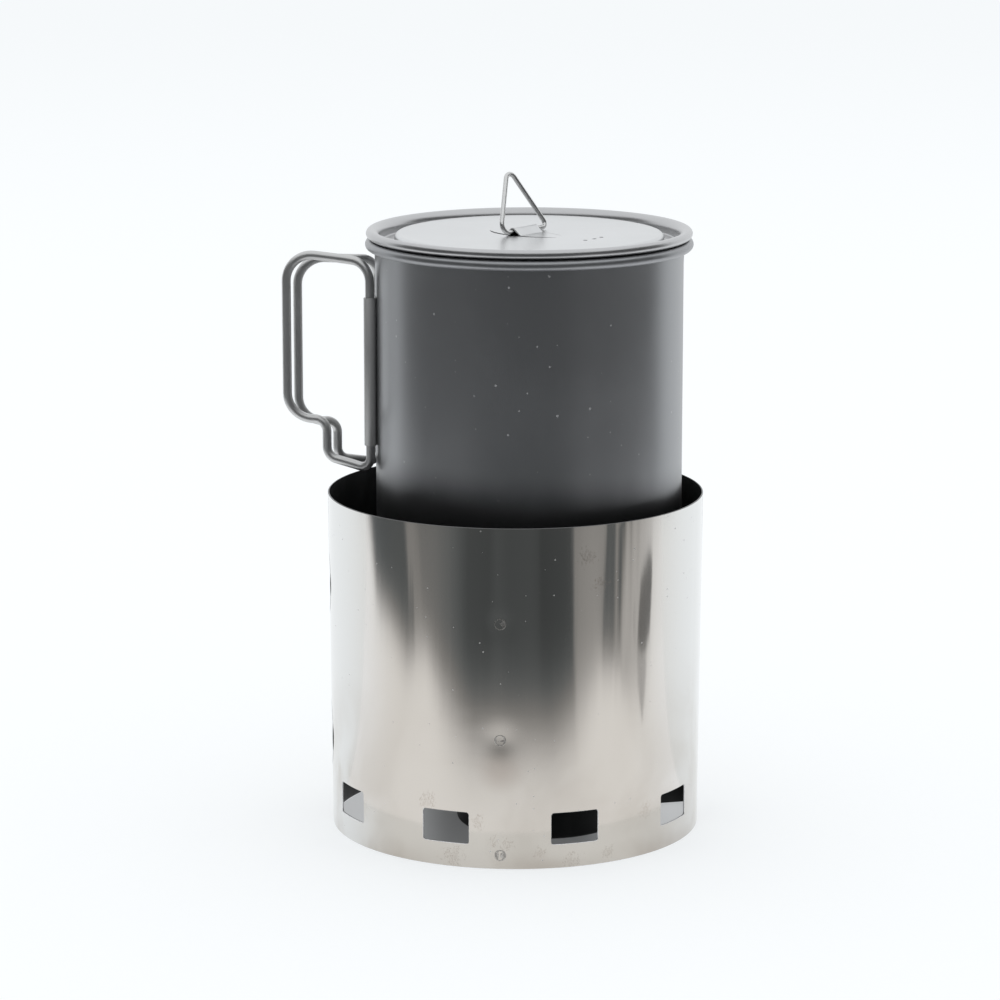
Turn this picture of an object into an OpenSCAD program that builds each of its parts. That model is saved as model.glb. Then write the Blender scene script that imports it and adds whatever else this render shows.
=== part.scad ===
// Small sheet-metal rocket stove with a lidded cooking pot standing in its shell.
// The origin is on the ground at the axis of the shell, and +Z points up.
// An azimuth is measured from the -Y axis (the front) and is positive towards +X.

/* [Shell] */
// Outside diameter of the shell at its top edge
shell_top_d = 116.7; // [114:0.1:124]
// Outside diameter of the shell at its bottom edge
shell_bottom_d = 115; // [113:0.1:124]
// Height of the shell
shell_h = 105.6; // [100:0.1:125]
// Thickness of the shell's sheet
shell_t = 0.4; // [0.3:0.05:0.8]
// Width of the lap where the rolled sheet meets itself
lap_w = 10; // [7:1:14]
// Number of weld spots down the lap
lap_welds = 5; // [3:1:7]

/* [Draught windows] */
// Places for windows round the foot of the shell
window_places = 9; // [7:1:9]
// Width of a window along the wall
window_w = 14.9; // [10:0.1:18]
// Height of a window
window_h = 9.8; // [6:0.1:12]
// Height of a window's sill above the ground
window_sill = 7.5; // [5:0.1:10]
// Azimuth of the first window
window_az = 18.4; // [16:0.2:21]

/* [Side ports] */
// Diameter of the two side ports
port_d = 25; // [20:0.5:26]
// Azimuth of the two side ports
port_az = -93; // [-96:0.5:-90]
// Height of the feed port's centre
feed_z = 28.5; // [26:0.5:32]
// Height of the vent port's centre
vent_z = 77.5; // [70:0.5:84]

/* [Pot stands] */
// Azimuths of the weld lines of the three stands
stand_az = [-4.5, 108.5, -128.5]; // [-180:0.5:180]
// Thickness of a stand's sheet
stand_t = 0.8; // [0.6:0.1:1.2]
// Width of a stand's flange along the wall
flange_w = 9; // [8:0.5:11]
// Depth of a stand's fin below its arm
fin_depth = 9; // [6:0.5:12]
// Distance from the shell's axis to the tip of an arm
arm_tip_r = 38; // [36.5:0.5:41]
// Depth of an arm at its tip
arm_tip_h = 5; // [3:0.5:8]
// Depth of an arm where it meets the fin
arm_root_h = 14; // [10:0.5:15]
// Height that the pot's base stands at
seat_z = 77; // [75:0.5:80]
// Length of flange above the seat
flange_ear = 3.4; // [2.6:0.1:6]
// Diameter of a weld spot
weld_d = 3.7; // [3:0.1:4.5]

/* [Fire chamber] */
// Outside diameter of the chamber
chamber_d = 52.8; // [48:0.1:54]
// Height of the chamber
chamber_h = 62; // [56:0.5:63]
// Thickness of the chamber's sheet
chamber_t = 0.4; // [0.3:0.05:0.8]
// Radius of the chamber's bottom corner
chamber_corner = 1.6; // [1:0.1:3]
// Distance of the chamber's axis behind the shell's axis, seen from the ports
chamber_shift = 8; // [6:0.5:9]
// Diameter of an air hole near the chamber's mouth
jet_d = 4; // [2:0.5:5]
// Number of air holes near the chamber's mouth
jet_count = 16; // [8:1:20]

/* [Feed tube] */
// Wall thickness of the feed tube
tube_t = 0.4; // [0.3:0.05:0.8]
// Width of the saddle plate round the feed port
saddle_rim = 4.5; // [4.2:0.1:6]
// Thickness of the saddle plate
saddle_t = 0.6; // [0.4:0.1:1]
// Depth of the collar inside the vent port
collar_depth = 6; // [4:0.5:9]
// Depth of the fuel shelf below the tube's axis
shelf_drop = 4; // [2:0.5:6]
// Thickness of the fuel shelf
shelf_t = 0.8; // [0.6:0.1:1.2]

/* [Grate] */
// Height of the grate's top above the ground
grate_z = 15; // [12:0.5:16]
// Thickness of the grate's sheet
grate_t = 0.6; // [0.4:0.1:1]
// Diameter of a grate hole
grate_hole_d = 4; // [3:0.5:4.5]
// Number of folded legs under the grate
grate_legs = 3; // [3:1:5]

/* [Pot] */
// Outside diameter of the pot's wall
pot_d = 95; // [92:0.1:97]
// Distance of the pot's axis to the right of the shell's axis
pot_x = 4.2; // [0:0.1:4.5]
// Thickness of the pot's sheet
pot_t = 0.4; // [0.3:0.05:0.8]
// Height of the centre of the pot's rolled rim above its base
rim_h = 106; // [104:0.5:112]
// Radius of the pot's bottom corner
pot_corner = 5; // [3:0.5:8]
// Radius of the roll of the pot's rim
rim_roll_r = 1.6; // [1.2:0.1:2]

/* [Lid] */
// Radius of the roll round the lid's edge
lid_roll_r = 1.4; // [1.1:0.1:1.6]
// Thickness of the lid's sheet
lid_t = 0.4; // [0.3:0.05:0.5]
// Diameter of the lid's raised middle
plateau_d = 83; // [76:0.5:86]
// Depth of the channel round the raised middle
channel_h = 3.2; // [2.6:0.1:4.5]
// Radius of the shoulder of the raised middle
shoulder_r = 1.5; // [1.1:0.1:1.8]
// Length of the lanced strap that holds the ring
strap_l = 25.6; // [22:0.2:28]
// Width of the strap at its middle
strap_w = 11.2; // [9:0.1:13]
// Width of the strap at its ends
strap_end_w = 3; // [2:0.1:6]
// Slope of the flanks of the strap's hump over the ring
strap_slope = 41; // [35:1:55]
// Diameter of the vent holes in the lid
lid_vent_d = 1.4; // [1:0.1:2.5]
// Number of vent holes in the lid
lid_vents = 3; // [1:1:6]

/* [Lid ring] */
// Diameter of the ring's wire
ring_wire_d = 1.5; // [1.2:0.1:1.8]
// Length of the ring's base between its corner points
ring_base = 22.7; // [21.5:0.1:26]
// Distance from the ring's base to its top point
ring_reach = 19.4; // [14:0.1:22]
// Lean of the ring from upright
ring_lean = 18; // [0:1:30]
// Direction of the ring's base, from +X towards +Y
ring_dir = 52; // [0:0.5:90]

/* [Handles] */
// Diameter of the handle wire
handle_wire_d = 2.8; // [2.2:0.1:3]
// Azimuths of the front and the rear hinge barrel, from the left side towards the rear
barrel_az = [-8.1, 17.2]; // [-30:0.1:30]
// Height of the barrels
barrel_h = 46; // [38:0.5:48]
// Height of the lower end of the barrels
barrel_z = 121; // [119:0.5:124]
// Thickness of the hinge plate's sheet
plate_t = 0.45; // [0.4:0.05:0.7]
// Reach of a handle from its hinge to the middle of its grip
handle_reach = 27.3; // [24:0.1:32]
// Reach of a handle's lower step
step_reach = 14.9; // [12:0.1:17]
// Radius that a handle is curved to, so that it folds round the pot
wrap_r = 50; // [49.5:0.5:60]
// Turn of each open handle towards the other, from straight out
toe_in = [31.1, 41]; // [10:0.1:50]
// How far the rear handle hangs down in its barrel
rear_drop = 1.6; // [0:0.1:2]

/* [Hidden] */
$fn = 96;

// Clearances
seam_gap = 0.05;      // between two sheets that are welded together
weld_gap = 0.03;      // round a weld spot in its holes
slip_gap = 0.1;       // round a tube or a wire in its bore
rest_gap = 0.3;       // between two pieces that only rest on each other
pull_gap = 0.4;       // round a piece that is pulled out by hand
cut = 1;              // how far a cutting shape runs past a face

// Colours
steel = [0.8, 0.79, 0.77];
soot = [0.12, 0.12, 0.13];
dark_titanium = [0.33, 0.34, 0.35];
pale_titanium = [0.72, 0.73, 0.74];

// Shell
function wall_r(z) = (shell_bottom_d + (shell_top_d - shell_bottom_d) * z / shell_h) / 2;
function arc_deg(length, r) = length / r * 180 / PI;
shell_mean_r = (shell_top_d + shell_bottom_d) / 4;
window_corner = 0.8;
window_pitch = 360 / window_places;
lap_az = window_az + 3.5 * window_pitch;
weld_r = weld_d / 2;
weld_sink = 0.15;
first_weld_z = 4.3;
lap_weld_margin = 9;

// Stands
flange_top = seat_z + flange_ear;
flange_bottom = 1;
flange_gap = shell_t + seam_gap;
stand_weld_top = flange_top - weld_r - 2.4;
stand_weld_count = 3;

// Chamber and feed tube
chamber_r = chamber_d / 2;
mouth_r = port_d / 2 - 0.2;
tube_r = mouth_r - slip_gap;
tube_bore_r = tube_r - tube_t;
saddle_gap = shell_t + seam_gap;
jet_ring_z = chamber_h - 9;
shelf_half_w = sqrt(pow(tube_bore_r, 2) - pow(shelf_drop, 2)) - pull_gap;
shelf_tab_h = 4;
shelf_inset = 2.5;

// Grate
grate_r = chamber_r - chamber_t - pull_gap;
grate_leg_w = 6;
grate_ring_r = [8, 16];
grate_ring_count = [6, 12];

// Pot
pot_r = pot_d / 2;
rim_z = seat_z + rim_h;
rim_roll_t = pot_t;
rim_roll_c = pot_r - 0.2 + rim_roll_r;
rim_open_deg = 70;

// Lid
lid_roll_c = rim_roll_c - 0.1;
lid_roll_z = rim_z + rim_roll_r + rest_gap + lid_roll_r;
lid_skirt_r = pot_r - pot_t - 0.5;
lid_bend_r = 0.6;
lid_web_z = lid_roll_z - lid_t / 2;
plateau_r = plateau_d / 2;
plateau_z = lid_roll_z + 0.05;
channel_z = plateau_z - channel_h;
channel_bend_r = 0.6;
strap_centre = [-1.7, -2.1];
slit_w = 0.5;
lid_vent_r = 24.6;
lid_vent_az = 43.5;
lid_vent_step = 9.7;

// Lid ring
ring_r = ring_wire_d / 2;
ring_z = plateau_z + ring_r + slip_gap;
ring_corner_r = 2.4;
ring_top_r = 1.6;
ring_end_gap = 0.6;
ring_lap = 0.05;
bend_thinning = 0.01;
strap_bow = (strap_w - strap_end_w) / 2;
strap_side_r = (pow(strap_l / 2, 2) + pow(strap_bow, 2)) / (2 * strap_bow);
hump_r = ring_r + rest_gap + lid_t;
hump_z = ring_z - plateau_z;
crest_steps = 16;

// Handles
wire_r = handle_wire_d / 2;
loop_inset = 0.02;
loop_r = wire_r - loop_inset;
bore_r = wire_r + slip_gap / 2;
barrel_r = bore_r + plate_t;
hinge_r = pot_r + seam_gap + barrel_r;
pin_depth = 14;
top_run_z = barrel_z + barrel_h + 10.7;
top_run_rise = 2.3;
grip_foot_z = barrel_z + 7.1;
foot_run_z = barrel_z - 7.7;
foot_run_rise = 3;
grip_bend_r = 8;
hinge_bend_r = 6.5;
step_bend_r = 3.9;
foot_bend_r = 3.2;
bend_steps = 6;
run_steps = 4;
shortest_run = 1;
wire_sides = 12;
plate_weld_d = 3.2;
plate_weld_rows = 3;
plate_weld_margin = 7;

// ---------------------------------------------------------------- shared shapes

// Turns what is built towards -Y to face an azimuth.
module facing(az) {
  rotate([0, 0, az]) children();
}

// Pie slice between two azimuths less than 180 degrees apart.
module slice(az_0, az_1, r, z_0, z_1) {
  az_m = (az_0 + az_1) / 2;
  reach = r / cos((az_1 - az_0) / 2);
  translate([0, 0, z_0])
    linear_extrude(z_1 - z_0)
      polygon([[0, 0], [reach * sin(az_0), -reach * cos(az_0)],
               [reach * sin(az_m), -reach * cos(az_m)], [reach * sin(az_1), -reach * cos(az_1)]]);
}

// Layer that follows the tapered shell, between two depths under its outer face.
module shell_layer(z_0, z_1, depth_0, depth_1) {
  difference() {
    translate([0, 0, z_0])
      cylinder(h = z_1 - z_0, r1 = wall_r(z_0) - depth_0, r2 = wall_r(z_1) - depth_0);
    translate([0, 0, z_0 - cut])
      cylinder(h = z_1 - z_0 + 2 * cut, r1 = wall_r(z_0 - cut) - depth_1,
               r2 = wall_r(z_1 + cut) - depth_1);
  }
}

// Round bar along -Y from one radius to another, at a height.
module radial_bar(z, r, r_0, r_1) {
  translate([0, -r_0, z]) rotate([90, 0, 0]) cylinder(h = r_1 - r_0, r = r);
}

// Plate standing in the local YZ plane, drawn as radius and height.
module radial_plate(points, t) {
  translate([t / 2, 0, 0])
    rotate([90, 0, -90]) linear_extrude(t) polygon(points);
}

// Quarter of a ring in the plane, for a bend in a sheet. The sign pair names the quarter.
module sheet_bend(centre, r_in, t, sx, sy) {
  translate(centre)
    intersection() {
      difference() {
        circle(r = r_in + t, $fn = 48);
        circle(r = r_in, $fn = 48);
      }
      translate([sx > 0 ? 0 : -(r_in + t), sy > 0 ? 0 : -(r_in + t)]) square(r_in + t);
    }
}

// Rolled edge in the plane, left open towards the lower inside.
module rolled_edge(centre, r, t) {
  translate(centre)
    difference() {
      circle(r = r, $fn = 48);
      circle(r = r - t, $fn = 48);
      polygon([[0, 0], [-2 * r, 0], [-2 * r, -2 * r], [-2 * r * cos(rim_open_deg), -2 * r]]);
    }
}

// ---------------------------------------------------------------- stove

// Rounded window that cuts the wall at the front.
module window_cut() {
  half_w = window_w / 2 - window_corner;
  low = window_sill + window_corner;
  high = window_sill + window_h - window_corner;
  rotate([90, 0, 0])
    linear_extrude(shell_mean_r + 3 * cut) {
      for (x = [-half_w, half_w], z = [low, high])
        translate([x, z]) circle(r = window_corner, $fn = 24);
      translate([-half_w - window_corner, low]) square([window_w, high - low]);
      translate([-half_w, window_sill]) square([2 * half_w, window_h]);
    }
}

// Holes for one column of weld spots at the front of the wall.
module weld_column(heights, r, depth) {
  for (z = heights)
    radial_bar(z, r, wall_r(z) - depth - cut, wall_r(z) + cut);
}

function stand_weld_heights() =
  [for (i = [0:stand_weld_count - 1])
     first_weld_z + (stand_weld_top - first_weld_z) * i / (stand_weld_count - 1)];

function lap_weld_heights() =
  [for (i = [0:lap_welds - 1])
     lap_weld_margin + (shell_h - 2 * lap_weld_margin) * i / (lap_welds - 1)];

// A window is left out where it would run into the feed port.
function window_fits(az) =
  abs(((az - port_az + 540) % 360) - 180) > arc_deg(window_w / 2 + port_d / 2 + 1, shell_mean_r) ||
  feed_z - port_d / 2 > window_sill + window_h + 1;

module outer_shell() {
  color(steel)
    difference() {
      union() {
        shell_layer(0, shell_h, 0, shell_t);
        intersection() {
          shell_layer(0, shell_h, shell_t / 2, 2 * shell_t);
          slice(lap_az - arc_deg(lap_w / 2, shell_mean_r), lap_az + arc_deg(lap_w / 2, shell_mean_r),
                shell_top_d, -cut, shell_h + cut);
        }
      }
      for (i = [0:window_places - 1])
        if (window_fits(window_az + i * window_pitch))
          facing(window_az + i * window_pitch) window_cut();
      for (z = [feed_z, vent_z])
        facing(port_az) radial_bar(z, port_d / 2, shell_mean_r / 2, shell_top_d);
      for (az = stand_az)
        facing(az) weld_column(stand_weld_heights(), weld_r + weld_gap, stand_t + flange_gap);
      facing(lap_az) weld_column(lap_weld_heights(), weld_r + weld_gap, 2 * shell_t);
      for (z = [feed_z, vent_z])
        facing(port_az) saddle_spots(z, weld_r + weld_gap, 2 * cut);
    }
}

// Weld spots that fill the holes of two sheets, sunk a little into the outer face.
module weld_spots(heights, depth) {
  for (z = heights)
    intersection() {
      radial_bar(z, weld_r, wall_r(z) - depth - cut, wall_r(z) + cut);
      shell_layer(z - weld_d, z + weld_d, weld_sink, depth);
    }
}

module shell_lap_welds() {
  color(steel) facing(lap_az) weld_spots(lap_weld_heights(), 2 * shell_t);
}

// Angle strip: a flange on the wall and a fin with an arm that reaches under the pot.
module stand(az) {
  fin_az = az - arc_deg(flange_w / 2, shell_mean_r);
  bottom_r = wall_r(flange_bottom) - flange_gap - stand_t / 2;
  seat_r = wall_r(seat_z) - flange_gap - stand_t / 2;
  fin_r = wall_r(flange_bottom) - flange_gap - fin_depth;
  top_z = seat_z - rest_gap;
  color(steel)
    difference() {
      union() {
        intersection() {
          shell_layer(flange_bottom, flange_top, flange_gap, flange_gap + stand_t);
          slice(fin_az, fin_az + arc_deg(flange_w, shell_mean_r), shell_top_d,
                0, flange_top + cut);
        }
        facing(fin_az + arc_deg(stand_t / 2, shell_mean_r))
          radial_plate([[bottom_r, flange_bottom], [fin_r, flange_bottom],
                        [fin_r, top_z - arm_root_h], [arm_tip_r, top_z - arm_tip_h],
                        [arm_tip_r, top_z], [seat_r, top_z]], stand_t);
      }
      facing(az) weld_column(stand_weld_heights(), weld_r + weld_gap, flange_gap + stand_t);
    }
}

module stand_front() {
  stand(stand_az[0]);
}

module stand_right() {
  stand(stand_az[1]);
}

module stand_rear() {
  stand(stand_az[2]);
}

module stand_welds() {
  color(steel)
    for (az = stand_az)
      facing(az) weld_spots(stand_weld_heights(), flange_gap + stand_t);
}

// Places of the weld spots of a plate round a port, sideways and upwards from its centre.
saddle_half = port_d / 2 + saddle_rim;
saddle_weld_r = port_d / 2 + saddle_rim / 2;
saddle_weld_at = [[0, saddle_weld_r], [0, -saddle_weld_r], [-saddle_weld_r, 0]];

module saddle_spots(z, r, depth) {
  for (p = saddle_weld_at) {
    far_r = sqrt(pow(wall_r(z + p[1]), 2) - pow(p[0], 2));
    translate([p[0], 0, 0]) radial_bar(z + p[1], r, far_r - depth - cut, far_r + 2 * cut);
  }
}

// Plate that follows the inside of the wall round a port, with a hole.
module saddle_plate(z, hole_r) {
  difference() {
    intersection() {
      shell_layer(z - saddle_half, z + saddle_half, saddle_gap, saddle_gap + saddle_t);
      facing(port_az)
        translate([-saddle_half, -shell_top_d, z - saddle_half])
          cube([2 * saddle_half, shell_top_d, 2 * saddle_half]);
    }
    facing(port_az) {
      radial_bar(z, hole_r, shell_mean_r / 2, shell_top_d);
      saddle_spots(z, weld_r + weld_gap, saddle_gap + saddle_t);
    }
  }
}

// Plate that carries the outer end of the feed tube.
module feed_saddle() {
  color(steel) saddle_plate(feed_z, tube_r + slip_gap);
}

// The same plate round the vent port, with a short collar in one piece with it.
module vent_collar() {
  color(soot)
    difference() {
      union() {
        saddle_plate(vent_z, tube_bore_r - cut);
        difference() {
          facing(port_az)
            radial_bar(vent_z, tube_r, shell_mean_r - collar_depth, shell_top_d / 2 + cut);
          shell_layer(0, shell_h, -port_d, 0);
        }
      }
      facing(port_az) radial_bar(vent_z, tube_bore_r, shell_mean_r / 2, shell_top_d);
    }
}

module saddle_welds() {
  color(steel)
    intersection() {
      facing(port_az)
        for (z = [feed_z, vent_z]) saddle_spots(z, weld_r, saddle_gap + saddle_t);
      shell_layer(0, shell_h, weld_sink, saddle_gap + saddle_t);
    }
}

// Places a child on the chamber's axis.
module at_chamber() {
  facing(port_az) translate([0, chamber_shift, 0]) children();
}

module feed_tube() {
  color(soot)
    difference() {
      facing(port_az) radial_bar(feed_z, tube_r, 0, shell_top_d / 2 + cut);
      facing(port_az) radial_bar(feed_z, tube_bore_r, -cut, shell_top_d);
      at_chamber() cylinder(h = chamber_h, r = chamber_r - chamber_t);
      shell_layer(0, shell_h, -port_d, 0);
    }
}

// Flat shelf with a turned-down tab, lying across the lower half of the feed tube.
module fuel_shelf() {
  top = feed_z - shelf_drop;
  outer = wall_r(feed_z) - shelf_inset;
  inner = chamber_r - chamber_shift + shelf_inset;
  color(soot)
    facing(port_az) {
      translate([-shelf_half_w, -outer, top - shelf_t]) cube([2 * shelf_half_w, outer - inner, shelf_t]);
      translate([-shelf_half_w / 2, -outer, top - shelf_tab_h])
        cube([shelf_half_w, shelf_t, shelf_tab_h - shelf_t / 2]);
    }
}

// Straight-sided can, open at the top, with a mouth for the feed tube and a ring of air holes.
module fire_chamber() {
  color(soot)
    difference() {
      at_chamber()
        rotate_extrude() {
          square([chamber_r - chamber_corner, chamber_t]);
          sheet_bend([chamber_r - chamber_corner, chamber_corner], chamber_corner - chamber_t,
                     chamber_t, 1, -1);
          translate([chamber_r - chamber_t, chamber_corner])
            square([chamber_t, chamber_h - chamber_corner]);
        }
      facing(port_az) radial_bar(feed_z, mouth_r, 0, shell_top_d / 2);
      at_chamber()
        for (i = [0:jet_count - 1])
          rotate([0, 0, (i + 0.5) * 360 / jet_count])
            radial_bar(jet_ring_z, jet_d / 2, chamber_r - chamber_t - cut, chamber_r + cut);
    }
}

// Pierced disc on folded legs that keeps the fuel off the chamber's floor.
module grate() {
  leg_h = grate_z - grate_t - chamber_t - rest_gap;
  color(soot)
    at_chamber() {
      difference() {
        translate([0, 0, grate_z - grate_t]) cylinder(h = grate_t, r = grate_r);
        translate([0, 0, grate_z - grate_t - cut]) {
          cylinder(h = grate_t + 2 * cut, r = grate_hole_d / 2, $fn = 32);
          for (ring = [0:len(grate_ring_r) - 1], i = [0:grate_ring_count[ring] - 1])
            rotate([0, 0, i * 360 / grate_ring_count[ring]])
              translate([grate_ring_r[ring], 0, 0])
                cylinder(h = grate_t + 2 * cut, r = grate_hole_d / 2, $fn = 32);
        }
      }
      for (i = [0:grate_legs - 1])
        rotate([0, 0, i * 360 / grate_legs])
          translate([grate_r - 3, -grate_leg_w / 2, chamber_t + rest_gap])
            cube([grate_t, grate_leg_w, leg_h + grate_t / 2]);
    }
}

// ---------------------------------------------------------------- pot

// Places a child on the pot's axis.
module at_pot() {
  translate([pot_x, 0, 0]) children();
}

module pot_body() {
  color(dark_titanium)
    at_pot() {
      rotate_extrude() {
        translate([0, seat_z]) square([pot_r - pot_corner, pot_t]);
        sheet_bend([pot_r - pot_corner, seat_z + pot_corner], pot_corner - pot_t, pot_t, 1, -1);
        translate([pot_r - pot_t, seat_z + pot_corner])
          square([pot_t, rim_h - pot_corner]);
        rolled_edge([rim_roll_c, rim_z], rim_roll_r, rim_roll_t);
      }
    }
}

// Place of a hinge barrel in plan.
function hinge_at(i) =
  [pot_x - hinge_r * cos(barrel_az[i]), hinge_r * sin(barrel_az[i])];

function plate_weld_places() =
  [for (side = [-1, 1], row = [0:plate_weld_rows - 1])
     [(barrel_az[0] + barrel_az[1]) / 2 + side * arc_deg(4.2, pot_r),
      barrel_z + plate_weld_margin
      + (barrel_h - 2 * plate_weld_margin) * row / (plate_weld_rows - 1)]];

// Bar from the pot's axis through the hinge plate at one weld spot.
module plate_spot(place, r) {
  at_pot() facing(-90 - place[0]) radial_bar(place[1], r, pot_r - cut, pot_r + 3 * cut);
}

// Layer round the pot, between two distances outside its wall.
module pot_layer(z_0, z_1, out_0, out_1) {
  at_pot()
    translate([0, 0, z_0])
      difference() {
        cylinder(h = z_1 - z_0, r = pot_r + out_1);
        translate([0, 0, -cut]) cylinder(h = z_1 - z_0 + 2 * cut, r = pot_r + out_0);
      }
}

// Sheet on the pot's wall whose two edges are curled into hinge barrels.
module handle_plate() {
  color(pale_titanium)
    difference() {
      union() {
        intersection() {
          pot_layer(barrel_z, barrel_z + barrel_h, seam_gap, seam_gap + plate_t);
          at_pot() slice(-90 - barrel_az[1], -90 - barrel_az[0], pot_d, 0, 2 * rim_z);
        }
        for (i = [0, 1])
          translate([hinge_at(i)[0], hinge_at(i)[1], barrel_z]) cylinder(h = barrel_h, r = barrel_r);
      }
      for (i = [0, 1])
        translate([hinge_at(i)[0], hinge_at(i)[1], barrel_z - cut])
          cylinder(h = barrel_h + 2 * cut, r = bore_r);
      for (place = plate_weld_places())
        plate_spot(place, plate_weld_d / 2 + weld_gap);
    }
}

module plate_welds() {
  color(pale_titanium)
    intersection() {
      union() {
        for (place = plate_weld_places())
          plate_spot(place, plate_weld_d / 2);
      }
      pot_layer(barrel_z, barrel_z + barrel_h, seam_gap / 2, seam_gap + plate_t - weld_sink);
    }
}

// ---------------------------------------------------------------- handles

// Corners of one handle as reach from the hinge and height, with a bend radius each.
function loop_corners(drop) = [
  [0, barrel_z + barrel_h - 1, 0],
  [0, top_run_z - drop, hinge_bend_r],
  [handle_reach, top_run_z + top_run_rise - drop, grip_bend_r],
  [handle_reach, grip_foot_z - drop, grip_bend_r],
  [step_reach, grip_foot_z - drop, step_bend_r],
  [step_reach, foot_run_z + foot_run_rise - drop, step_bend_r],
  [0, foot_run_z - drop, foot_bend_r],
  [0, barrel_z + 1, 0]
];

function unit(v) = v / norm(v);

// Points of one rounded corner between its two neighbours.
function bend_points(a, b, c) =
  let (u = unit([a[0] - b[0], a[1] - b[1]]),
       v = unit([c[0] - b[0], c[1] - b[1]]),
       half = acos(u * v) / 2,
       tangent = b[2] / tan(half),
       middle = [b[0], b[1]] + unit(u + v) * b[2] / sin(half),
       turn = 180 - 2 * half,
       side = sign(u[0] * v[1] - u[1] * v[0]),
       start = unit([b[0], b[1]] + u * tangent - middle))
  [for (i = [0:bend_steps])
     let (w = -side * turn * i / bend_steps)
     middle + b[2] * [start[0] * cos(w) - start[1] * sin(w), start[0] * sin(w) + start[1] * cos(w)]];

// Whole centre line: straight stretches are divided, because they curve in plan.
function loop_points(corners) =
  let (bends = [for (i = [1:len(corners) - 2]) bend_points(corners[i - 1], corners[i], corners[i + 1])],
       first = [[corners[0][0], corners[0][1]]],
       last = [[corners[len(corners) - 1][0], corners[len(corners) - 1][1]]],
       stops = concat([first], bends, [last]))
  concat(first,
         [for (i = [1:len(stops) - 1])
            let (from = stops[i - 1][len(stops[i - 1]) - 1], to = stops[i][0],
                 parts = abs(from[0] - to[0]) < shortest_run ? 1 : run_steps)
            for (p = concat([for (k = [1:parts]) from + (to - from) * k / parts],
                            [for (k = [1:1:len(stops[i]) - 1]) stops[i][k]])) p]);

// Direction and place in plan of a curved handle at a distance from its hinge.
function plan_heading(i, s) =
  i == 0 ? 180 - toe_in[0] + arc_deg(s, wrap_r) : 180 + toe_in[1] - arc_deg(s, wrap_r);

function plan_at(i, s) =
  let (h_0 = plan_heading(i, 0), h = plan_heading(i, s), turn = i == 0 ? 1 : -1)
  hinge_at(i) + turn * wrap_r * [sin(h) - sin(h_0), cos(h_0) - cos(h)];

// One ring of the wire's skin, square to the centre line.
function wire_ring(i, before, here, after) =
  let (h = plan_heading(i, here[0]),
       along = [cos(h), sin(h), 0],
       across = [-sin(h), cos(h), 0],
       step = unit(after - before),
       tangent = step[0] * along + [0, 0, step[1]],
       third = cross(tangent, across),
       place = plan_at(i, here[0]),
       middle = [place[0], place[1], here[1]])
  [for (k = [0:wire_sides - 1])
     let (a = k * 360 / wire_sides)
     middle + loop_r * (across * cos(a) + third * sin(a))];

module wire_tube(i, points) {
  last = len(points) - 1;
  skin = [for (j = [0:last])
            for (p = wire_ring(i, points[max(j - 1, 0)], points[j], points[min(j + 1, last)])) p];
  sides = [for (j = [0:last - 1], k = [0:wire_sides - 1])
             let (a = j * wire_sides + k, b = j * wire_sides + (k + 1) % wire_sides)
             for (f = [[a, a + wire_sides, b + wire_sides], [a, b + wire_sides, b]]) f];
  near_cap = [[for (k = [0:wire_sides - 1]) k]];
  far_cap = [[for (k = [wire_sides - 1:-1:0]) last * wire_sides + k]];
  polyhedron(points = skin, faces = concat(sides, near_cap, far_cap));
}

// Wire handle: a loop whose two ends turn into hinge pins in the barrel.
module wire_handle(i, drop) {
  color(pale_titanium) {
    wire_tube(i, loop_points(loop_corners(drop)));
    translate([hinge_at(i)[0], hinge_at(i)[1], barrel_z + barrel_h - pin_depth - drop])
      cylinder(h = pin_depth + drop, r = wire_r);
    translate([hinge_at(i)[0], hinge_at(i)[1], barrel_z])
      cylinder(h = pin_depth - drop, r = wire_r);
  }
}

module handle_front() {
  wire_handle(0, 0);
}

module handle_rear() {
  wire_handle(1, rear_drop);
}

// ---------------------------------------------------------------- lid

// Frame of the ring's hinge: X runs along the ring's base, and the origin is on the plateau.
module at_strap() {
  translate([pot_x + strap_centre[0], strap_centre[1], plateau_z])
    rotate([0, 0, ring_dir]) children();
}

module lid_sheet() {
  rotate_extrude() {
    translate([0, plateau_z - lid_t]) square([plateau_r - shoulder_r, lid_t]);
    sheet_bend([plateau_r - shoulder_r, plateau_z - shoulder_r], shoulder_r - lid_t, lid_t, 1, 1);
    translate([plateau_r - lid_t, channel_z + channel_bend_r])
      square([lid_t, channel_h - shoulder_r - channel_bend_r]);
    sheet_bend([plateau_r + channel_bend_r, channel_z + channel_bend_r], channel_bend_r, lid_t, -1, -1);
    translate([plateau_r + channel_bend_r, channel_z - lid_t])
      square([lid_skirt_r - lid_t - plateau_r - 2 * channel_bend_r, lid_t]);
    sheet_bend([lid_skirt_r - lid_t - channel_bend_r, channel_z + channel_bend_r],
               channel_bend_r, lid_t, 1, -1);
    translate([lid_skirt_r - lid_t, channel_z + channel_bend_r])
      square([lid_t, lid_web_z - lid_bend_r - channel_z - channel_bend_r]);
    sheet_bend([lid_skirt_r + lid_bend_r, lid_web_z - lid_bend_r], lid_bend_r, lid_t, -1, 1);
    translate([lid_skirt_r + lid_bend_r, lid_web_z])
      square([lid_roll_c - lid_roll_r + lid_t / 2 - lid_skirt_r - lid_bend_r, lid_t]);
    rolled_edge([lid_roll_c, lid_roll_z], lid_roll_r, lid_t);
  }
}

// Block over the strap's outline, bowed on both long sides, with a margin round it.
module strap_block(margin, reach) {
  intersection() {
    bowed_side(1) cylinder(h = 4 * strap_w, r = strap_side_r + margin, center = true, $fn = 192);
    bowed_side(-1) cylinder(h = 4 * strap_w, r = strap_side_r + margin, center = true, $fn = 192);
    cube([2 * strap_w, 2 * reach, 2 * strap_w], center = true);
  }
}

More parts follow.
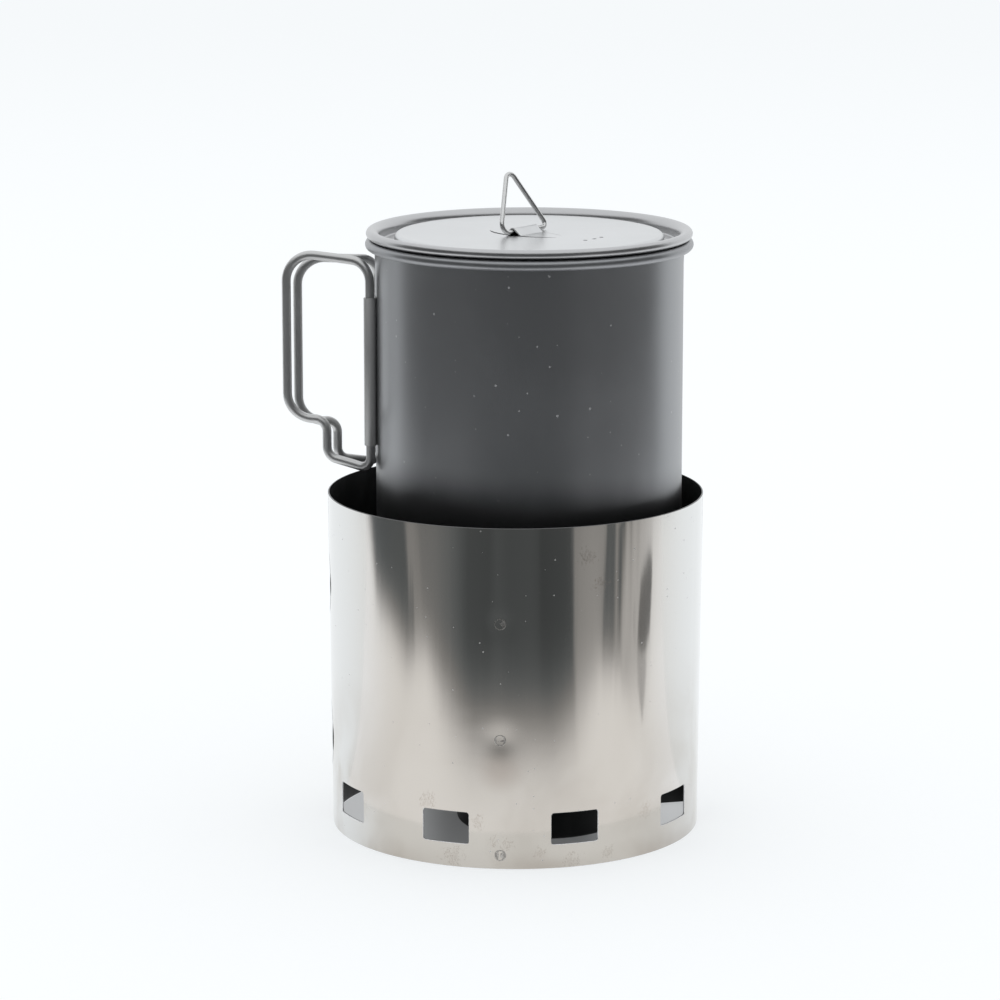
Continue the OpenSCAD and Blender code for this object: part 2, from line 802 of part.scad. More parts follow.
// Moves a child to the centre of one bowed side.
module bowed_side(side) {
  translate([side * (strap_side_r - strap_w / 2), 0, 0]) children();
}

// Points of the hump's crest in the strap's section, from left to right.
function crest_points(r) =
  [for (i = [0:crest_steps])
     let (a = 90 + strap_slope * (1 - 2 * i / crest_steps))
     [r * cos(a), hump_z + r * sin(a)]];

// Distance of a flank's foot from the hump's middle, at a height.
function flank_foot(r, z) =
  r * sin(strap_slope) + (hump_z + r * cos(strap_slope) - z) / tan(strap_slope);

// Section of the strap: flat ends and a hump over the ring's base.
module strap_section() {
  end_x = strap_l / 2 + cut;
  out_x = flank_foot(hump_r, 0);
  in_x = flank_foot(hump_r - lid_t, -lid_t);
  under = crest_points(hump_r - lid_t);
  polygon(concat([[-end_x, -lid_t], [-end_x, 0], [-out_x, 0]], crest_points(hump_r),
                 [[out_x, 0], [end_x, 0], [end_x, -lid_t], [in_x, -lid_t]],
                 [for (i = [crest_steps:-1:0]) under[i]], [[-in_x, -lid_t]]));
}

module strap() {
  intersection() {
    rotate([90, 0, 90])
      translate([0, 0, -strap_w])
        linear_extrude(2 * strap_w) strap_section();
    strap_block(0, strap_l);
  }
}

module lid() {
  color(pale_titanium) {
    difference() {
      at_pot() lid_sheet();
      at_strap()
        intersection() {
          strap_block(slit_w, strap_l / 2);
          cube([2 * strap_w, 2 * strap_l, 4 * lid_t], center = true);
        }
      for (i = [0:lid_vents - 1])
        at_pot() facing(lid_vent_az + i * lid_vent_step)
          translate([0, -lid_vent_r, plateau_z - 2 * lid_t])
            cylinder(h = 4 * lid_t, r = lid_vent_d / 2, $fn = 32);
    }
    at_strap() strap();
  }
}

// Straight stretch of ring wire between two points of the ring's plane.
module ring_bar(from, to) {
  turn = atan2(to[1] - from[1], to[0] - from[0]);
  translate([from[0], 0, from[1]])
    rotate([0, -turn, 0])
      rotate([0, 90, 0])
        translate([0, 0, -ring_lap])
          cylinder(h = norm(to - from) + 2 * ring_lap, r = ring_r, $fn = 48);
}

// Bend of ring wire round a centre, from one angle through a turn.
module ring_bend(centre, r, from, turn) {
  translate([centre[0], 0, centre[1]])
    rotate([90, 0, 0])
      rotate([0, 0, from])
        rotate_extrude(angle = turn)
          translate([r, 0]) circle(r = ring_r - bend_thinning, $fn = 48);
}

// Triangle of wire, drawn upright over its base and then leaned.
module lid_ring() {
  slope = atan2(ring_reach, ring_base / 2);
  foot = ring_corner_r / tan(slope / 2);
  shoulder = ring_top_r / tan(90 - slope);
  low_x = ring_base / 2 - foot;
  leg_low = [ring_base / 2 - foot * cos(slope), foot * sin(slope)];
  leg_high = [shoulder * cos(slope), ring_reach - shoulder * sin(slope)];
  top_centre = [0, ring_reach - ring_top_r / cos(slope)];
  color(pale_titanium)
    at_strap()
      translate([0, 0, ring_z - plateau_z])
        rotate([-ring_lean, 0, 0]) {
          for (side = [-1, 1]) {
            ring_bar([side * ring_end_gap / 2, 0], [side * low_x, 0]);
            ring_bend([side * low_x, ring_corner_r], ring_corner_r,
                      side > 0 ? -90 : 90 + slope, 180 - slope);
            ring_bar([side * leg_low[0], leg_low[1]], [side * leg_high[0], leg_high[1]]);
          }
          ring_bend(top_centre, ring_top_r, 90 - slope, 2 * slope);
        }
}

outer_shell();
shell_lap_welds();
stand_front();
stand_right();
stand_rear();
stand_welds();
feed_saddle();
vent_collar();
saddle_welds();
feed_tube();
fuel_shelf();
fire_chamber();
grate();
pot_body();
handle_plate();
plate_welds();
handle_front();
handle_rear();
lid();
lid_ring();
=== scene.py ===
"""Looks of a sheet-metal rocket stove and the lidded pot that stands in its shell.

Sizes in the classes are in millimetres. Meshes are turned into metres when they are made.
An azimuth is measured from the front (-Y) and is positive towards +X, in degrees.
"""
import logging
import math
from dataclasses import dataclass
from enum import Enum
from typing import Callable, Iterable, Optional, Sequence

import bmesh
import bpy
import numpy as np
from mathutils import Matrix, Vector
from mathutils.geometry import delaunay_2d_cdt


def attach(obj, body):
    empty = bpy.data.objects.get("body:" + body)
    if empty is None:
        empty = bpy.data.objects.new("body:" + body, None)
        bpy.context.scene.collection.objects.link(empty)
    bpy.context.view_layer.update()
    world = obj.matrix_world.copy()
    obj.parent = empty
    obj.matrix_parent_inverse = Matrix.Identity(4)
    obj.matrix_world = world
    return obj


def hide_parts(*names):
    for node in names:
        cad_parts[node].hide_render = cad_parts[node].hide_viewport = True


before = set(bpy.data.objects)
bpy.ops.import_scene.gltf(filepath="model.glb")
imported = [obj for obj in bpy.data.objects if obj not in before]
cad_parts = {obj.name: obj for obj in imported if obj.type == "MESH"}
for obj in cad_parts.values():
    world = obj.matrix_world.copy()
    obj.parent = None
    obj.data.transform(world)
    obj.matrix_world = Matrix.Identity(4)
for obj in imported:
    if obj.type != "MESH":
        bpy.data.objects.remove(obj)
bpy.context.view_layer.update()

LOG = logging.getLogger("rocket_stove")
MM = 0.001
SHARP_DEG = 38.0
JOIN_GAP = 0.002
POT_CENTRE = (4.2, 0.0)
UP = np.array([0.0, 0.0, 1.0])


class Body(Enum):
    """Rigid bodies that the pieces ride on."""

    STOVE = "stove"
    GRATE = "grate"
    POT = "pot"
    LID = "lid"
    RING = "lid_ring"
    FRONT_HANDLE = "handle_front"
    REAR_HANDLE = "handle_rear"


class Slot(Enum):
    """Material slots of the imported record."""

    SHELL = "polished_steel"
    SOOT = "sooted_steel"
    WELD = "weld"
    POT = "pot_titanium"
    LID = "lid_titanium"
    WIRE = "bright_titanium"


class Side(Enum):
    """The two wire handles."""

    FRONT = 0
    REAR = 1


# ------------------------------------------------------------------ node helpers


class Graph:
    """Adds and joins nodes of one tree."""

    def __init__(self, tree: bpy.types.NodeTree) -> None:
        """Keeps the tree that the nodes go into."""
        self.tree = tree

    def add(self, kind: str, settings: Optional[dict] = None, **inputs: object) -> bpy.types.Node:
        """Adds one node.

        Args:
            kind: Type name of the node.
            settings: Attributes of the node itself.
            inputs: Input sockets by name, with blanks as underscores; a socket is linked.

        Returns:
            The new node.
        """
        node = self.tree.nodes.new(kind)
        for key, value in (settings or {}).items():
            setattr(node, key, value)
        for key, value in inputs.items():
            self.feed(node, key.replace("_", " "), value)
        return node

    def feed(self, node: bpy.types.Node, key: object, value: object) -> None:
        """Sets an input socket, by name or number, or links it.

        Args:
            node: Node whose input it is.
            key: Name or number of the input.
            value: A socket, a node whose first output is meant, or a constant.
        """
        socket = node.inputs[key]
        if isinstance(value, bpy.types.NodeSocket):
            self.tree.links.new(value, socket)
        elif isinstance(value, bpy.types.Node):
            self.tree.links.new(value.outputs[0], socket)
        else:
            socket.default_value = value

    def math(self, operation: str, *values: object) -> bpy.types.NodeSocket:
        """Adds a Math node.

        Args:
            operation: Its operation.
            values: Its inputs in order.

        Returns:
            The result socket.
        """
        node = self.tree.nodes.new("ShaderNodeMath")
        node.operation = operation
        for number, value in enumerate(values):
            self.feed(node, number, value)
        return node.outputs[0]

    def ramp(self, factor: object, low: float, high: float) -> bpy.types.NodeSocket:
        """Smooth step from 0 at low to 1 at high.

        Args:
            factor: The value that is stepped.
            low: Value that gives 0.
            high: Value that gives 1.

        Returns:
            The result socket.
        """
        node = self.tree.nodes.new("ShaderNodeMapRange")
        node.interpolation_type = "SMOOTHSTEP"
        self.feed(node, 0, factor)
        self.feed(node, 1, low)
        self.feed(node, 2, high)
        return node.outputs[0]

    def mix(self, factor: object, first: object, second: object) -> bpy.types.NodeSocket:
        """Mixes two colours.

        Args:
            factor: Share of the second colour.
            first: First colour or socket.
            second: Second colour or socket.

        Returns:
            The result socket.
        """
        node = self.tree.nodes.new("ShaderNodeMix")
        node.data_type = "RGBA"
        self.feed(node, 0, factor)
        self.feed(node, 6, first)
        self.feed(node, 7, second)
        return node.outputs[2]

    def fall(self, factor: object, low: float, high: float) -> bpy.types.NodeSocket:
        """Smooth step from 1 at low to 0 at high."""
        return self.math("SUBTRACT", 1.0, self.ramp(factor, low, high))

    def lay(self, under: object, over: object, mask: object, strength: float) -> bpy.types.NodeSocket:
        """Lays a colour over another, at a strength, where a mask is 1."""
        return self.mix(self.math("MULTIPLY", mask, strength), under, over)

    def split(self, place: object) -> list[bpy.types.NodeSocket]:
        """X, Y and Z of a vector."""
        return list(self.add("ShaderNodeSeparateXYZ", None, Vector=place).outputs)

    def distance(self, place: object, centre: Sequence[float]) -> bpy.types.NodeSocket:
        """Distance of places from a point.

        Args:
            place: The places.
            centre: The point.

        Returns:
            The distance socket.
        """
        node = self.add("ShaderNodeVectorMath", {"operation": "DISTANCE"})
        self.feed(node, 0, place)
        self.feed(node, 1, centre)
        return node.outputs["Value"]


def fresh_graph(holder: bpy.types.ID) -> Graph:
    """Opens the emptied node tree of a material or a world.

    Args:
        holder: The material or world.

    Returns:
        Its graph.
    """
    holder.use_nodes = True
    holder.node_tree.nodes.clear()
    return Graph(holder.node_tree)


def rgb(red: float, green: float, blue: float) -> tuple[float, float, float, float]:
    """Opaque colour as four numbers."""
    return (red, green, blue, 1.0)


def grey(level: float) -> tuple[float, float, float, float]:
    """Opaque grey as four numbers."""
    return rgb(level, level, level)


def outward(azimuth: float) -> np.ndarray:
    """Level direction at an azimuth."""
    turn = math.radians(azimuth)
    return np.array([math.sin(turn), -math.cos(turn), 0.0])


@dataclass(frozen=True)
class Finish:
    """Base of the finishes: a named node material that is made once."""

    name: str

    def material(self) -> bpy.types.Material:
        """Returns the finish's material, and builds it on first use."""
        found = bpy.data.materials.get(self.name)
        if found is not None:
            return found
        made = bpy.data.materials.new(self.name)
        graph = fresh_graph(made)
        shader = graph.add("ShaderNodeBsdfPrincipled")
        output = graph.add("ShaderNodeOutputMaterial")
        graph.feed(output, "Surface", shader)
        coordinate = graph.add("ShaderNodeTexCoord")
        scale = graph.add("ShaderNodeVectorMath", {"operation": "SCALE"})
        graph.feed(scale, 0, coordinate.outputs["Object"])
        graph.feed(scale, "Scale", 1.0 / MM)
        self.paint(graph, shader, scale.outputs[0])
        return made

    def paint(self, graph: Graph, shader: bpy.types.Node, place: bpy.types.NodeSocket) -> None:
        """Sets the shader. Each finish has its own."""
        raise NotImplementedError

    @staticmethod
    def noise(graph: Graph, place: bpy.types.NodeSocket, scale: Sequence[float],
              detail: float = 3.0, distortion: float = 0.0) -> bpy.types.NodeSocket:
        """Noise with its own scale along each axis.

        Args:
            graph: The material's nodes.
            place: Object coordinates in millimetres.
            scale: Cycles per millimetre along X, Y and Z.
            detail: Octaves.
            distortion: How far the pattern is bent.

        Returns:
            The noise value, about 0.5 on average.
        """
        mapping = graph.add("ShaderNodeMapping", None, Vector=place, Scale=tuple(scale))
        node = graph.add("ShaderNodeTexNoise", None, Vector=mapping.outputs[0], Scale=1.0,
                         Detail=detail, Distortion=distortion)
        return node.outputs["Fac"]

    @staticmethod
    def specks(graph: Graph, place: bpy.types.NodeSocket, spacing: float, size: float,
               share: float) -> bpy.types.NodeSocket:
        """Sparse small specks of dust.

        Args:
            graph: The material's nodes.
            place: Object coordinates in millimetres.
            spacing: Width of the cells that may hold a speck.
            size: Radius of a speck.
            share: Share of the cells that hold one.

        Returns:
            A mask that is 1 on a speck.
        """
        cells = graph.add("ShaderNodeTexVoronoi", None, Vector=place, Scale=1.0 / spacing)
        parts = graph.add("ShaderNodeSeparateColor")
        graph.feed(parts, 0, cells.outputs["Color"])
        reach = graph.math("MULTIPLY", parts.outputs[1], size / spacing)
        near = graph.math("LESS_THAN", cells.outputs["Distance"], reach)
        chosen = graph.math("LESS_THAN", parts.outputs[0], share)
        return graph.math("MULTIPLY", near, chosen)

    @staticmethod
    def bump(graph: Graph, shader: bpy.types.Node, height: object, depth: float,
             under: object = None) -> bpy.types.NodeSocket:
        """Adds a bump whose depth is in millimetres.

        Args:
            graph: The material's nodes.
            shader: Shader that takes the normal.
            height: Height pattern from 0 to 1.
            depth: Height of the pattern's full range.
            under: Normal that it is laid over.

        Returns:
            The normal socket.
        """
        node = graph.add("ShaderNodeBump", None, Height=height, Distance=depth * MM, Strength=1.0)
        if under is not None:
            graph.feed(node, "Normal", under)
        graph.feed(shader, "Normal", node.outputs[0])
        return node.outputs[0]


@dataclass(frozen=True)
class PolishedSteel(Finish):
    """Bright rolled stainless sheet with dried water marks, heat tint and dust. Its colour is lighter towards
    the sides and darker and warmer across the front and back, a painted sheen on the sides as seen from the
    front, and it is darker and browner along its bottom edge.
    """

    # Painted sheen: side is the lighter colour of the sides, front the darker, warmer colour across the front
    # and back.
    side: tuple = rgb(0.75, 0.75, 0.74)
    front: tuple = rgb(0.618, 0.58, 0.53)
    tinted: tuple = rgb(0.53, 0.49, 0.44)
    burnt: tuple = rgb(0.4, 0.34, 0.29)
    roughness: float = 0.072
    stains: tuple = (
        (-27.6, 19.9, 4.2), (-11.2, 14.6, 3.0), (-19.5, 2.9, 5.2), (-6.5, 9.0, 2.6), (-2.5, 7.7, 3.2),
        (17.8, 1.8, 4.4), (29.4, 3.3, 3.4), (43.6, 14.1, 3.6), (21.8, 96.1, 4.0), (25.8, 87.5, 3.8),
        (7.5, 5.0, 2.6),
    )
    stain_edge: tuple = (3.2, -2.05)
    stain_strength: float = 0.5
    shell_radius: float = 57.8
    # Distances across over which the painted sheen lightens the sides.
    side_span: tuple = (34.0, 55.0)
    warm_span: tuple = (14.0, 66.0)
    warm_strength: float = 0.7
    hem_height: float = 7.0
    hem_strength: float = 0.35
    heat_place: tuple = (-4.5, -57.8, 31.0)
    heat_span: tuple = (1.0, 9.0)
    heat_strength: float = 0.45
    dust: tuple = (2.7, 0.32, 0.46)
    dust_colour: tuple = grey(0.75)
    dust_strength: float = 0.6
    rough_gains: tuple = (0.06, 0.04, 0.12, 0.4)
    depths: tuple = (0.006, 0.0006, 0.03)

    def stain_mask(self, graph: Graph, place: bpy.types.NodeSocket) -> bpy.types.NodeSocket:
        """Mask of the dried water marks, strongest along their ragged outlines.

        Args:
            graph: The material's nodes.
            place: Object coordinates in millimetres.

        Returns:
            A mask from 0 to 1.
        """
        ragged = self.noise(graph, place, (1.1, 1.1, 0.8), 8.0, 0.9)
        grain = graph.ramp(self.noise(graph, place, (3.4, 3.4, 2.4), 3.0), 0.38, 0.62)
        total: object = 0.0
        for azimuth, height, radius in self.stains:
            centre = self.shell_radius * outward(azimuth) + height * UP
            span = graph.distance(place, centre.tolist())
            near = graph.math("MULTIPLY_ADD", span, -1.0 / radius, 1.0)
            near = graph.math("ADD", near, graph.math("MULTIPLY_ADD", ragged, *self.stain_edge))
            total = graph.math("MAXIMUM", total, near)
        inner = graph.math("MULTIPLY", graph.ramp(total, 0.25, 0.7), 0.5)
        outline = graph.math("SUBTRACT", graph.ramp(total, 0.0, 0.2), inner)
        return graph.math("MULTIPLY", outline, grain)

    def paint(self, graph: Graph, shader: bpy.types.Node, place: bpy.types.NodeSocket) -> None:
        """Sets colour, roughness and bump of the sheet."""
        across, _, height = graph.split(place)
        clouds = self.noise(graph, place, (0.035, 0.035, 0.03), 3.0, 0.6)
        streaks = self.noise(graph, place, (0.9, 0.9, 0.012), 4.0)
        fine = self.noise(graph, place, (4.0, 4.0, 0.05), 2.0)
        aside = graph.ramp(graph.math("ABSOLUTE", across), *self.side_span)
        stain = self.stain_mask(graph, place)
        low = graph.fall(height, *self.warm_span)
        warm = graph.math("MULTIPLY", low, graph.ramp(clouds, 0.36, 0.7))
        hem = graph.fall(height, 0.0, self.hem_height)
        hem = graph.math("MULTIPLY", hem, graph.ramp(clouds, 0.3, 0.6))
        heat = graph.fall(graph.distance(place, self.heat_place), *self.heat_span)
        dust = self.specks(graph, place, *self.dust)
        # Painted sheen: lighter towards the sides, darker and warmer across the front and back.
        colour = graph.mix(aside, self.front, self.side)
        colour = graph.lay(colour, self.tinted, warm, self.warm_strength)
        colour = graph.lay(colour, self.burnt, hem, self.hem_strength)
        colour = graph.lay(colour, self.burnt, heat, self.heat_strength)
        colour = graph.lay(colour, self.burnt, stain, self.stain_strength)
        colour = graph.lay(colour, self.dust_colour, dust, self.dust_strength)
        graph.feed(shader, "Base Color", colour)
        shader.inputs["Metallic"].default_value = 1.0
        rough: object = self.roughness - 0.03
        for pattern, gain in zip((streaks, clouds, stain, dust), self.rough_gains):
            rough = graph.math("MULTIPLY_ADD", pattern, gain, rough)
        graph.feed(shader, "Roughness", rough)
        under = None
        for pattern, depth in zip((streaks, fine, clouds), self.depths):
            under = self.bump(graph, shader, pattern, depth, under)


@dataclass(frozen=True)
class SootedSteel(Finish):
    """Heat-blackened sheet inside the stove."""

    dark: tuple = rgb(0.017, 0.018, 0.018)
    worn: tuple = rgb(0.05, 0.05, 0.052)
    metallic: float = 0.55
    roughness: float = 0.36
    grain: float = 0.012

    def paint(self, graph: Graph, shader: bpy.types.Node, place: bpy.types.NodeSocket) -> None:
        """Sets colour and roughness of the soot."""
        clouds = self.noise(graph, place, (0.08, 0.08, 0.05), 4.0, 0.4)
        grit = self.noise(graph, place, (2.2, 2.2, 2.2), 3.0)
        graph.feed(shader, "Base Color", graph.mix(graph.ramp(clouds, 0.45, 0.8), self.dark, self.worn))
        shader.inputs["Metallic"].default_value = self.metallic
        graph.feed(shader, "Roughness", graph.math("MULTIPLY_ADD", grit, 0.2, self.roughness))
        self.bump(graph, shader, grit, self.grain)


@dataclass(frozen=True)
class Titanium(Finish):
    """Blasted or drawn titanium, from dark pot sheet to bright wire, with an optional painted shade low down
    and an optional painted shade at the lid's rim.
    """

    colour: tuple = rgb(0.33, 0.335, 0.34)
    worn: tuple = rgb(0.4, 0.405, 0.41)
    roughness: float = 0.44
    grain: float = 0.004
    dust: float = 0.0
    dust_cells: tuple = (3.1, 0.42)
    dust_colour: tuple = grey(0.8)
    dust_strength: float = 0.55
    # Painted shade: heights over which the pot's wall darkens towards the shell's rim, its tilt across, and
    # its dark colour and strength.
    low_shade: tuple = ()
    low_shade_tilt: float = 0.06
    low_shade_colour: tuple = rgb(0.09, 0.09, 0.092)
    low_shade_strength: float = 0.84
    # Painted shade: radii from the pot's axis past which the colour turns to a darker grey, on the lid's
    # channel and rolled rim.
    rim: tuple = ()
    rim_shade_colour: tuple = rgb(0.53, 0.53, 0.535)
    metallic: float = 1.0

    def paint(self, graph: Graph, shader: bpy.types.Node, place: bpy.types.NodeSocket) -> None:
        """Sets colour, roughness and grain of the metal, and any painted shade."""
        clouds = self.noise(graph, place, (0.05, 0.05, 0.03), 3.0, 0.3)
        grit = self.noise(graph, place, (5.0, 5.0, 5.0), 2.0)
        colour = graph.mix(graph.ramp(clouds, 0.35, 0.75), self.colour, self.worn)
        rough = graph.math("MULTIPLY_ADD", clouds, 0.08, self.roughness - 0.04)
        rough = graph.math("MULTIPLY_ADD", grit, 0.05, rough)
        if self.dust > 0.0:
            speck = self.specks(graph, place, *self.dust_cells, self.dust)
            colour = graph.lay(colour, self.dust_colour, speck, self.dust_strength)
            rough = graph.math("MULTIPLY_ADD", speck, 0.4, rough)
        x, y, z = graph.split(place)
        # Painted shade: the pot's wall darkens towards the shell's rim, reaching higher on the left.
        if self.low_shade:
            level = graph.math("MULTIPLY_ADD", clouds, 3.0, z)
            level = graph.math("MULTIPLY_ADD", x, self.low_shade_tilt, level)
            low = graph.fall(level, *self.low_shade)
            colour = graph.lay(colour, self.low_shade_colour, low, self.low_shade_strength)
        # Painted shade on the lid's channel and rolled rim.
        if self.rim:
            across = graph.math("SUBTRACT", x, POT_CENTRE[0])
            square = graph.math("MULTIPLY", y, y)
            radius = graph.math("SQRT", graph.math("MULTIPLY_ADD", across, across, square))
            colour = graph.mix(graph.ramp(radius, *self.rim), colour, self.rim_shade_colour)
        graph.feed(shader, "Base Color", colour)
        shader.inputs["Metallic"].default_value = self.metallic
        graph.feed(shader, "Roughness", rough)
        self.bump(graph, shader, grit, self.grain)


@dataclass(frozen=True)
class WeldMark(Finish):
    """Pressed and slightly tarnished metal of a weld spot; the cut edges use it too, where its light grey is
    a painted highlight.
    """

    colour: tuple = rgb(0.5, 0.48, 0.45)
    tarnish: tuple = rgb(0.3, 0.28, 0.26)
    roughness: float = 0.3
    soot: tuple = ()
    soot_colour: tuple = grey(0.16)
    grain: float = 0.05

    def paint(self, graph: Graph, shader: bpy.types.Node, place: bpy.types.NodeSocket) -> None:
        """Sets colour and roughness of the weld spot."""
        grit = self.noise(graph, place, (1.6, 1.6, 1.6), 3.0, 0.5)
        colour = graph.mix(graph.ramp(grit, 0.4, 0.65), self.colour, self.tarnish)
        if self.soot:
            height = graph.split(place)[2]
            colour = graph.mix(graph.ramp(height, *self.soot), colour, self.soot_colour)
        graph.feed(shader, "Base Color", colour)
        shader.inputs["Metallic"].default_value = 1.0
        graph.feed(shader, "Roughness", graph.math("MULTIPLY_ADD", grit, 0.25, self.roughness - 0.1))
        self.bump(graph, shader, grit, self.grain)


POLISHED = PolishedSteel("shell polished steel")
SOOTED = SootedSteel("sooted steel")
# The pot's sheet carries a painted shade near the shell's rim.
POT_SHEET = Titanium("pot titanium", rgb(0.335, 0.34, 0.35), rgb(0.355, 0.36, 0.37), 0.34, dust=0.42,
                     low_shade=(107.5, 122.0), metallic=0.95)
# The lid is the pot's titanium in a much lighter colour, painted light on its upward face, with a painted
# shade on its channel and rim.
LID_SHEET = Titanium("lid titanium", rgb(0.645, 0.65, 0.655), rgb(0.685, 0.69, 0.695), 0.29, 0.003,
                     rim=(42.5, 44.5))
BRIGHT_WIRE = Titanium("titanium wire", rgb(0.6, 0.6, 0.595), rgb(0.66, 0.66, 0.655), 0.4, 0.002)
RING_WIRE = Titanium("ring wire", rgb(0.62, 0.62, 0.615), rgb(0.68, 0.68, 0.675), 0.24, 0.001)
# The hinge plate is the pot's titanium in a lighter, more diffuse grey: painted light against the shade
# between its barrels and the pot.
HINGE_SHEET = Titanium("hinge titanium", rgb(0.56, 0.56, 0.555), rgb(0.6, 0.6, 0.595), 0.55, 0.003,
                       metallic=0.93)
# Painted highlight: the lid's slit edges are a light grey so that they show as lit edges.
LID_EDGE_HIGHLIGHT = WeldMark("lid cut edge", grey(0.86), grey(0.76), 0.5)
STEEL_WELD = WeldMark("steel weld mark")
# Painted highlight: the shell's cut edges are a light grey so that they show as lit edges; soot darkens them
# near the top.
CUT_EDGE_HIGHLIGHT = WeldMark("steel cut edge", grey(0.8), grey(0.66), 0.35, (100.0, 104.0))
PLATE_WELD = WeldMark("titanium weld mark", rgb(0.36, 0.365, 0.37), rgb(0.26, 0.26, 0.27), 0.4)


# ------------------------------------------------------------------ mesh helpers


def link_mesh(name: str, points: Sequence, edges: Sequence = (), faces: Sequence = ()) -> bpy.types.Object:
    """Makes a mesh object at the origin.

    Args:
        name: Name of the object and of its mesh.
        points: Vertices in millimetres.
        edges: Edges as vertex numbers.
        faces: Faces as vertex numbers.

    Returns:
        The linked object.
    """
    mesh = bpy.data.meshes.new(name)
    mesh.from_pydata((np.asarray(points, float) * MM).tolist(), edges, faces)
    made = bpy.data.objects.new(name, mesh)
    bpy.context.scene.collection.objects.link(made)
    return made


def smooth(mesh: bpy.types.Mesh, sharp: float = SHARP_DEG) -> None:
    """Shades a mesh smooth, with edges sharp past an angle in degrees."""
    mesh.shade_smooth()
    mesh.set_sharp_from_angle(angle=math.radians(sharp))


def new_object(name: str, points: np.ndarray, faces: Sequence[Sequence[int]],
               finishes: Sequence[Finish], slots: Optional[Sequence[int]] = None) -> bpy.types.Object:
    """Makes a smooth-shaded mesh object at the origin.

    Args:
        name: Name of the piece.
        points: Vertices in millimetres.
        faces: Faces as vertex numbers.
        finishes: Finishes of the material slots.
        slots: Slot number of each face, or None for the first.

    Returns:
        The linked object.
    """
    made = link_mesh(name, points, (), [list(f) for f in faces])
    for finish in finishes:
        made.data.materials.append(finish.material())
    if slots is not None:
        made.data.polygons.foreach_set("material_index", list(slots))
    made.data.update()
    smooth(made.data)
    return made


def settle(piece: bpy.types.Object, body: Body, slot: Slot, *nodes: str) -> None:
    """Puts a piece on its body in place of the solids that it stands for.

    Args:
        piece: The finished piece.
        body: Body that it rides on.
        slot: Slot of the record that it is finished in; not used.
        nodes: Solids that it replaces.
    """
    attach(piece, body.value)
    if nodes:
        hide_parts(*nodes)
    LOG.info("%s: %d faces on %s", piece.name, len(piece.data.polygons), body.value)


def dress(node: str, finish: Finish) -> None:
    """Gives a solid of the frame its finish.

    Args:
        node: Name of the solid.
        finish: Its finish.
    """
    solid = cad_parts[node]
    solid.data.materials.clear()
    solid.data.materials.append(finish.material())
    smooth(solid.data)
    LOG.info("%s: finished in %s", node, finish.name)


def arc(centre: Sequence[float], radius: float, start: float, turn: float, steps: int) -> list[tuple]:
    """Points of an arc in the plane, both ends included.

    Args:
        centre: Its centre.
        radius: Its radius.
        start: Angle of its first point, in degrees.
        turn: Angle that it turns through, anticlockwise.
        steps: Number of stretches.

    Returns:
        The points.
    """
    angles = [math.radians(start + turn * k / steps) for k in range(steps + 1)]
    return [(centre[0] + radius * math.cos(a), centre[1] + radius * math.sin(a)) for a in angles]


def divide(first: Sequence[float], last: Sequence[float], steps: int) -> list[tuple]:
    """Points inside a straight stretch, both ends left out.

    Args:
        first: Its first point.
        last: Its last point.
        steps: Number of equal stretches.

    Returns:
        The points between.
    """
    return [tuple(a + (b - a) * k / steps for a, b in zip(first, last)) for k in range(1, steps)]


def pace(first: Sequence[float], last: Sequence[float], spacing: float) -> list[tuple]:
    """Points inside a straight stretch, no more than a spacing apart, both ends left out."""
    return divide(first, last, max(1, math.ceil(math.dist(first, last) / spacing)))


def wrapped(angle: np.ndarray) -> np.ndarray:
    """Brings angles into -180 to 180 degrees."""
    return (angle + 180.0) % 360.0 - 180.0


def spin(profile: Sequence[tuple], centre: Sequence[float], around: int,
         closed: bool = True) -> tuple[np.ndarray, list[tuple]]:
    """Turns a profile of radius and height round a vertical axis.

    Args:
        profile: Points as radius and height, with the metal on the left of their direction.
        centre: The axis in plan.
        around: Number of steps round the axis.
        closed: Whether the profile's last point joins its first.

    Returns:
        Vertices and faces.
    """
    shape = np.array(profile, float)
    turns = np.radians(np.arange(around) * 360.0 / around)
    points = np.zeros((around, len(shape), 3))
    points[:, :, 0] = centre[0] + shape[None, :, 0] * np.cos(turns)[:, None]
    points[:, :, 1] = centre[1] + shape[None, :, 0] * np.sin(turns)[:, None]
    points[:, :, 2] = shape[None, :, 1]
    count = len(shape)
    on_axis = shape[:, 0] < 1e-9
    faces = []
    for i in range(around):
        j = (i + 1) % around
        for k in range(count if closed else count - 1):
            n = (k + 1) % count
            if on_axis[k] and on_axis[n]:
                continue
            quad = (i * count + k, j * count + k, j * count + n, i * count + n)
            if on_axis[k]:
                quad = (quad[0], quad[2], quad[3])
            elif on_axis[n]:
                quad = quad[:3]
            faces.append(quad)
    return points.reshape(-1, 3), faces


def rolled_edge(middle: tuple, roll: float, sheet: float, start: float, nose: float,
                steps: Sequence[int]) -> list[tuple]:
    """Profile of a rolled edge: round its outside, over its tip and back round its hollow.

    Args:
        middle: Centre of the roll, as radius and height.
        roll: Outside radius of the roll.
        sheet: Thickness of the sheet.
        start: Angle in degrees at which the roll leaves the wall.
        nose: Angle between the tip's point and the ends of both faces.
        steps: Stretches round the outside and round the hollow.

    Returns:
        Points from the wall's outer end, clockwise, back to its inner end.
    """
    end = -153.0
    outside = arc(middle, roll, start, end - start, steps[0])
    tip = arc(middle, roll - sheet / 2, end - nose, 0.0, 1)[:1]
    return outside + tip + arc(middle, roll - sheet, end, start - end, steps[1])


def tidy(piece: bpy.types.Object) -> None:
    """Joins doubled points, drops loose ones and turns all faces outwards.

    Args:
        piece: Object whose mesh is tidied.
    """
    work = bmesh.new()
    work.from_mesh(piece.data)
    bmesh.ops.remove_doubles(work, verts=work.verts, dist=JOIN_GAP * MM)
    bmesh.ops.delete(work, geom=[v for v in work.verts if not v.link_faces], context="VERTS")
    bmesh.ops.recalc_face_normals(work, faces=work.faces)
    work.to_mesh(piece.data)
    work.free()
    smooth(piece.data)


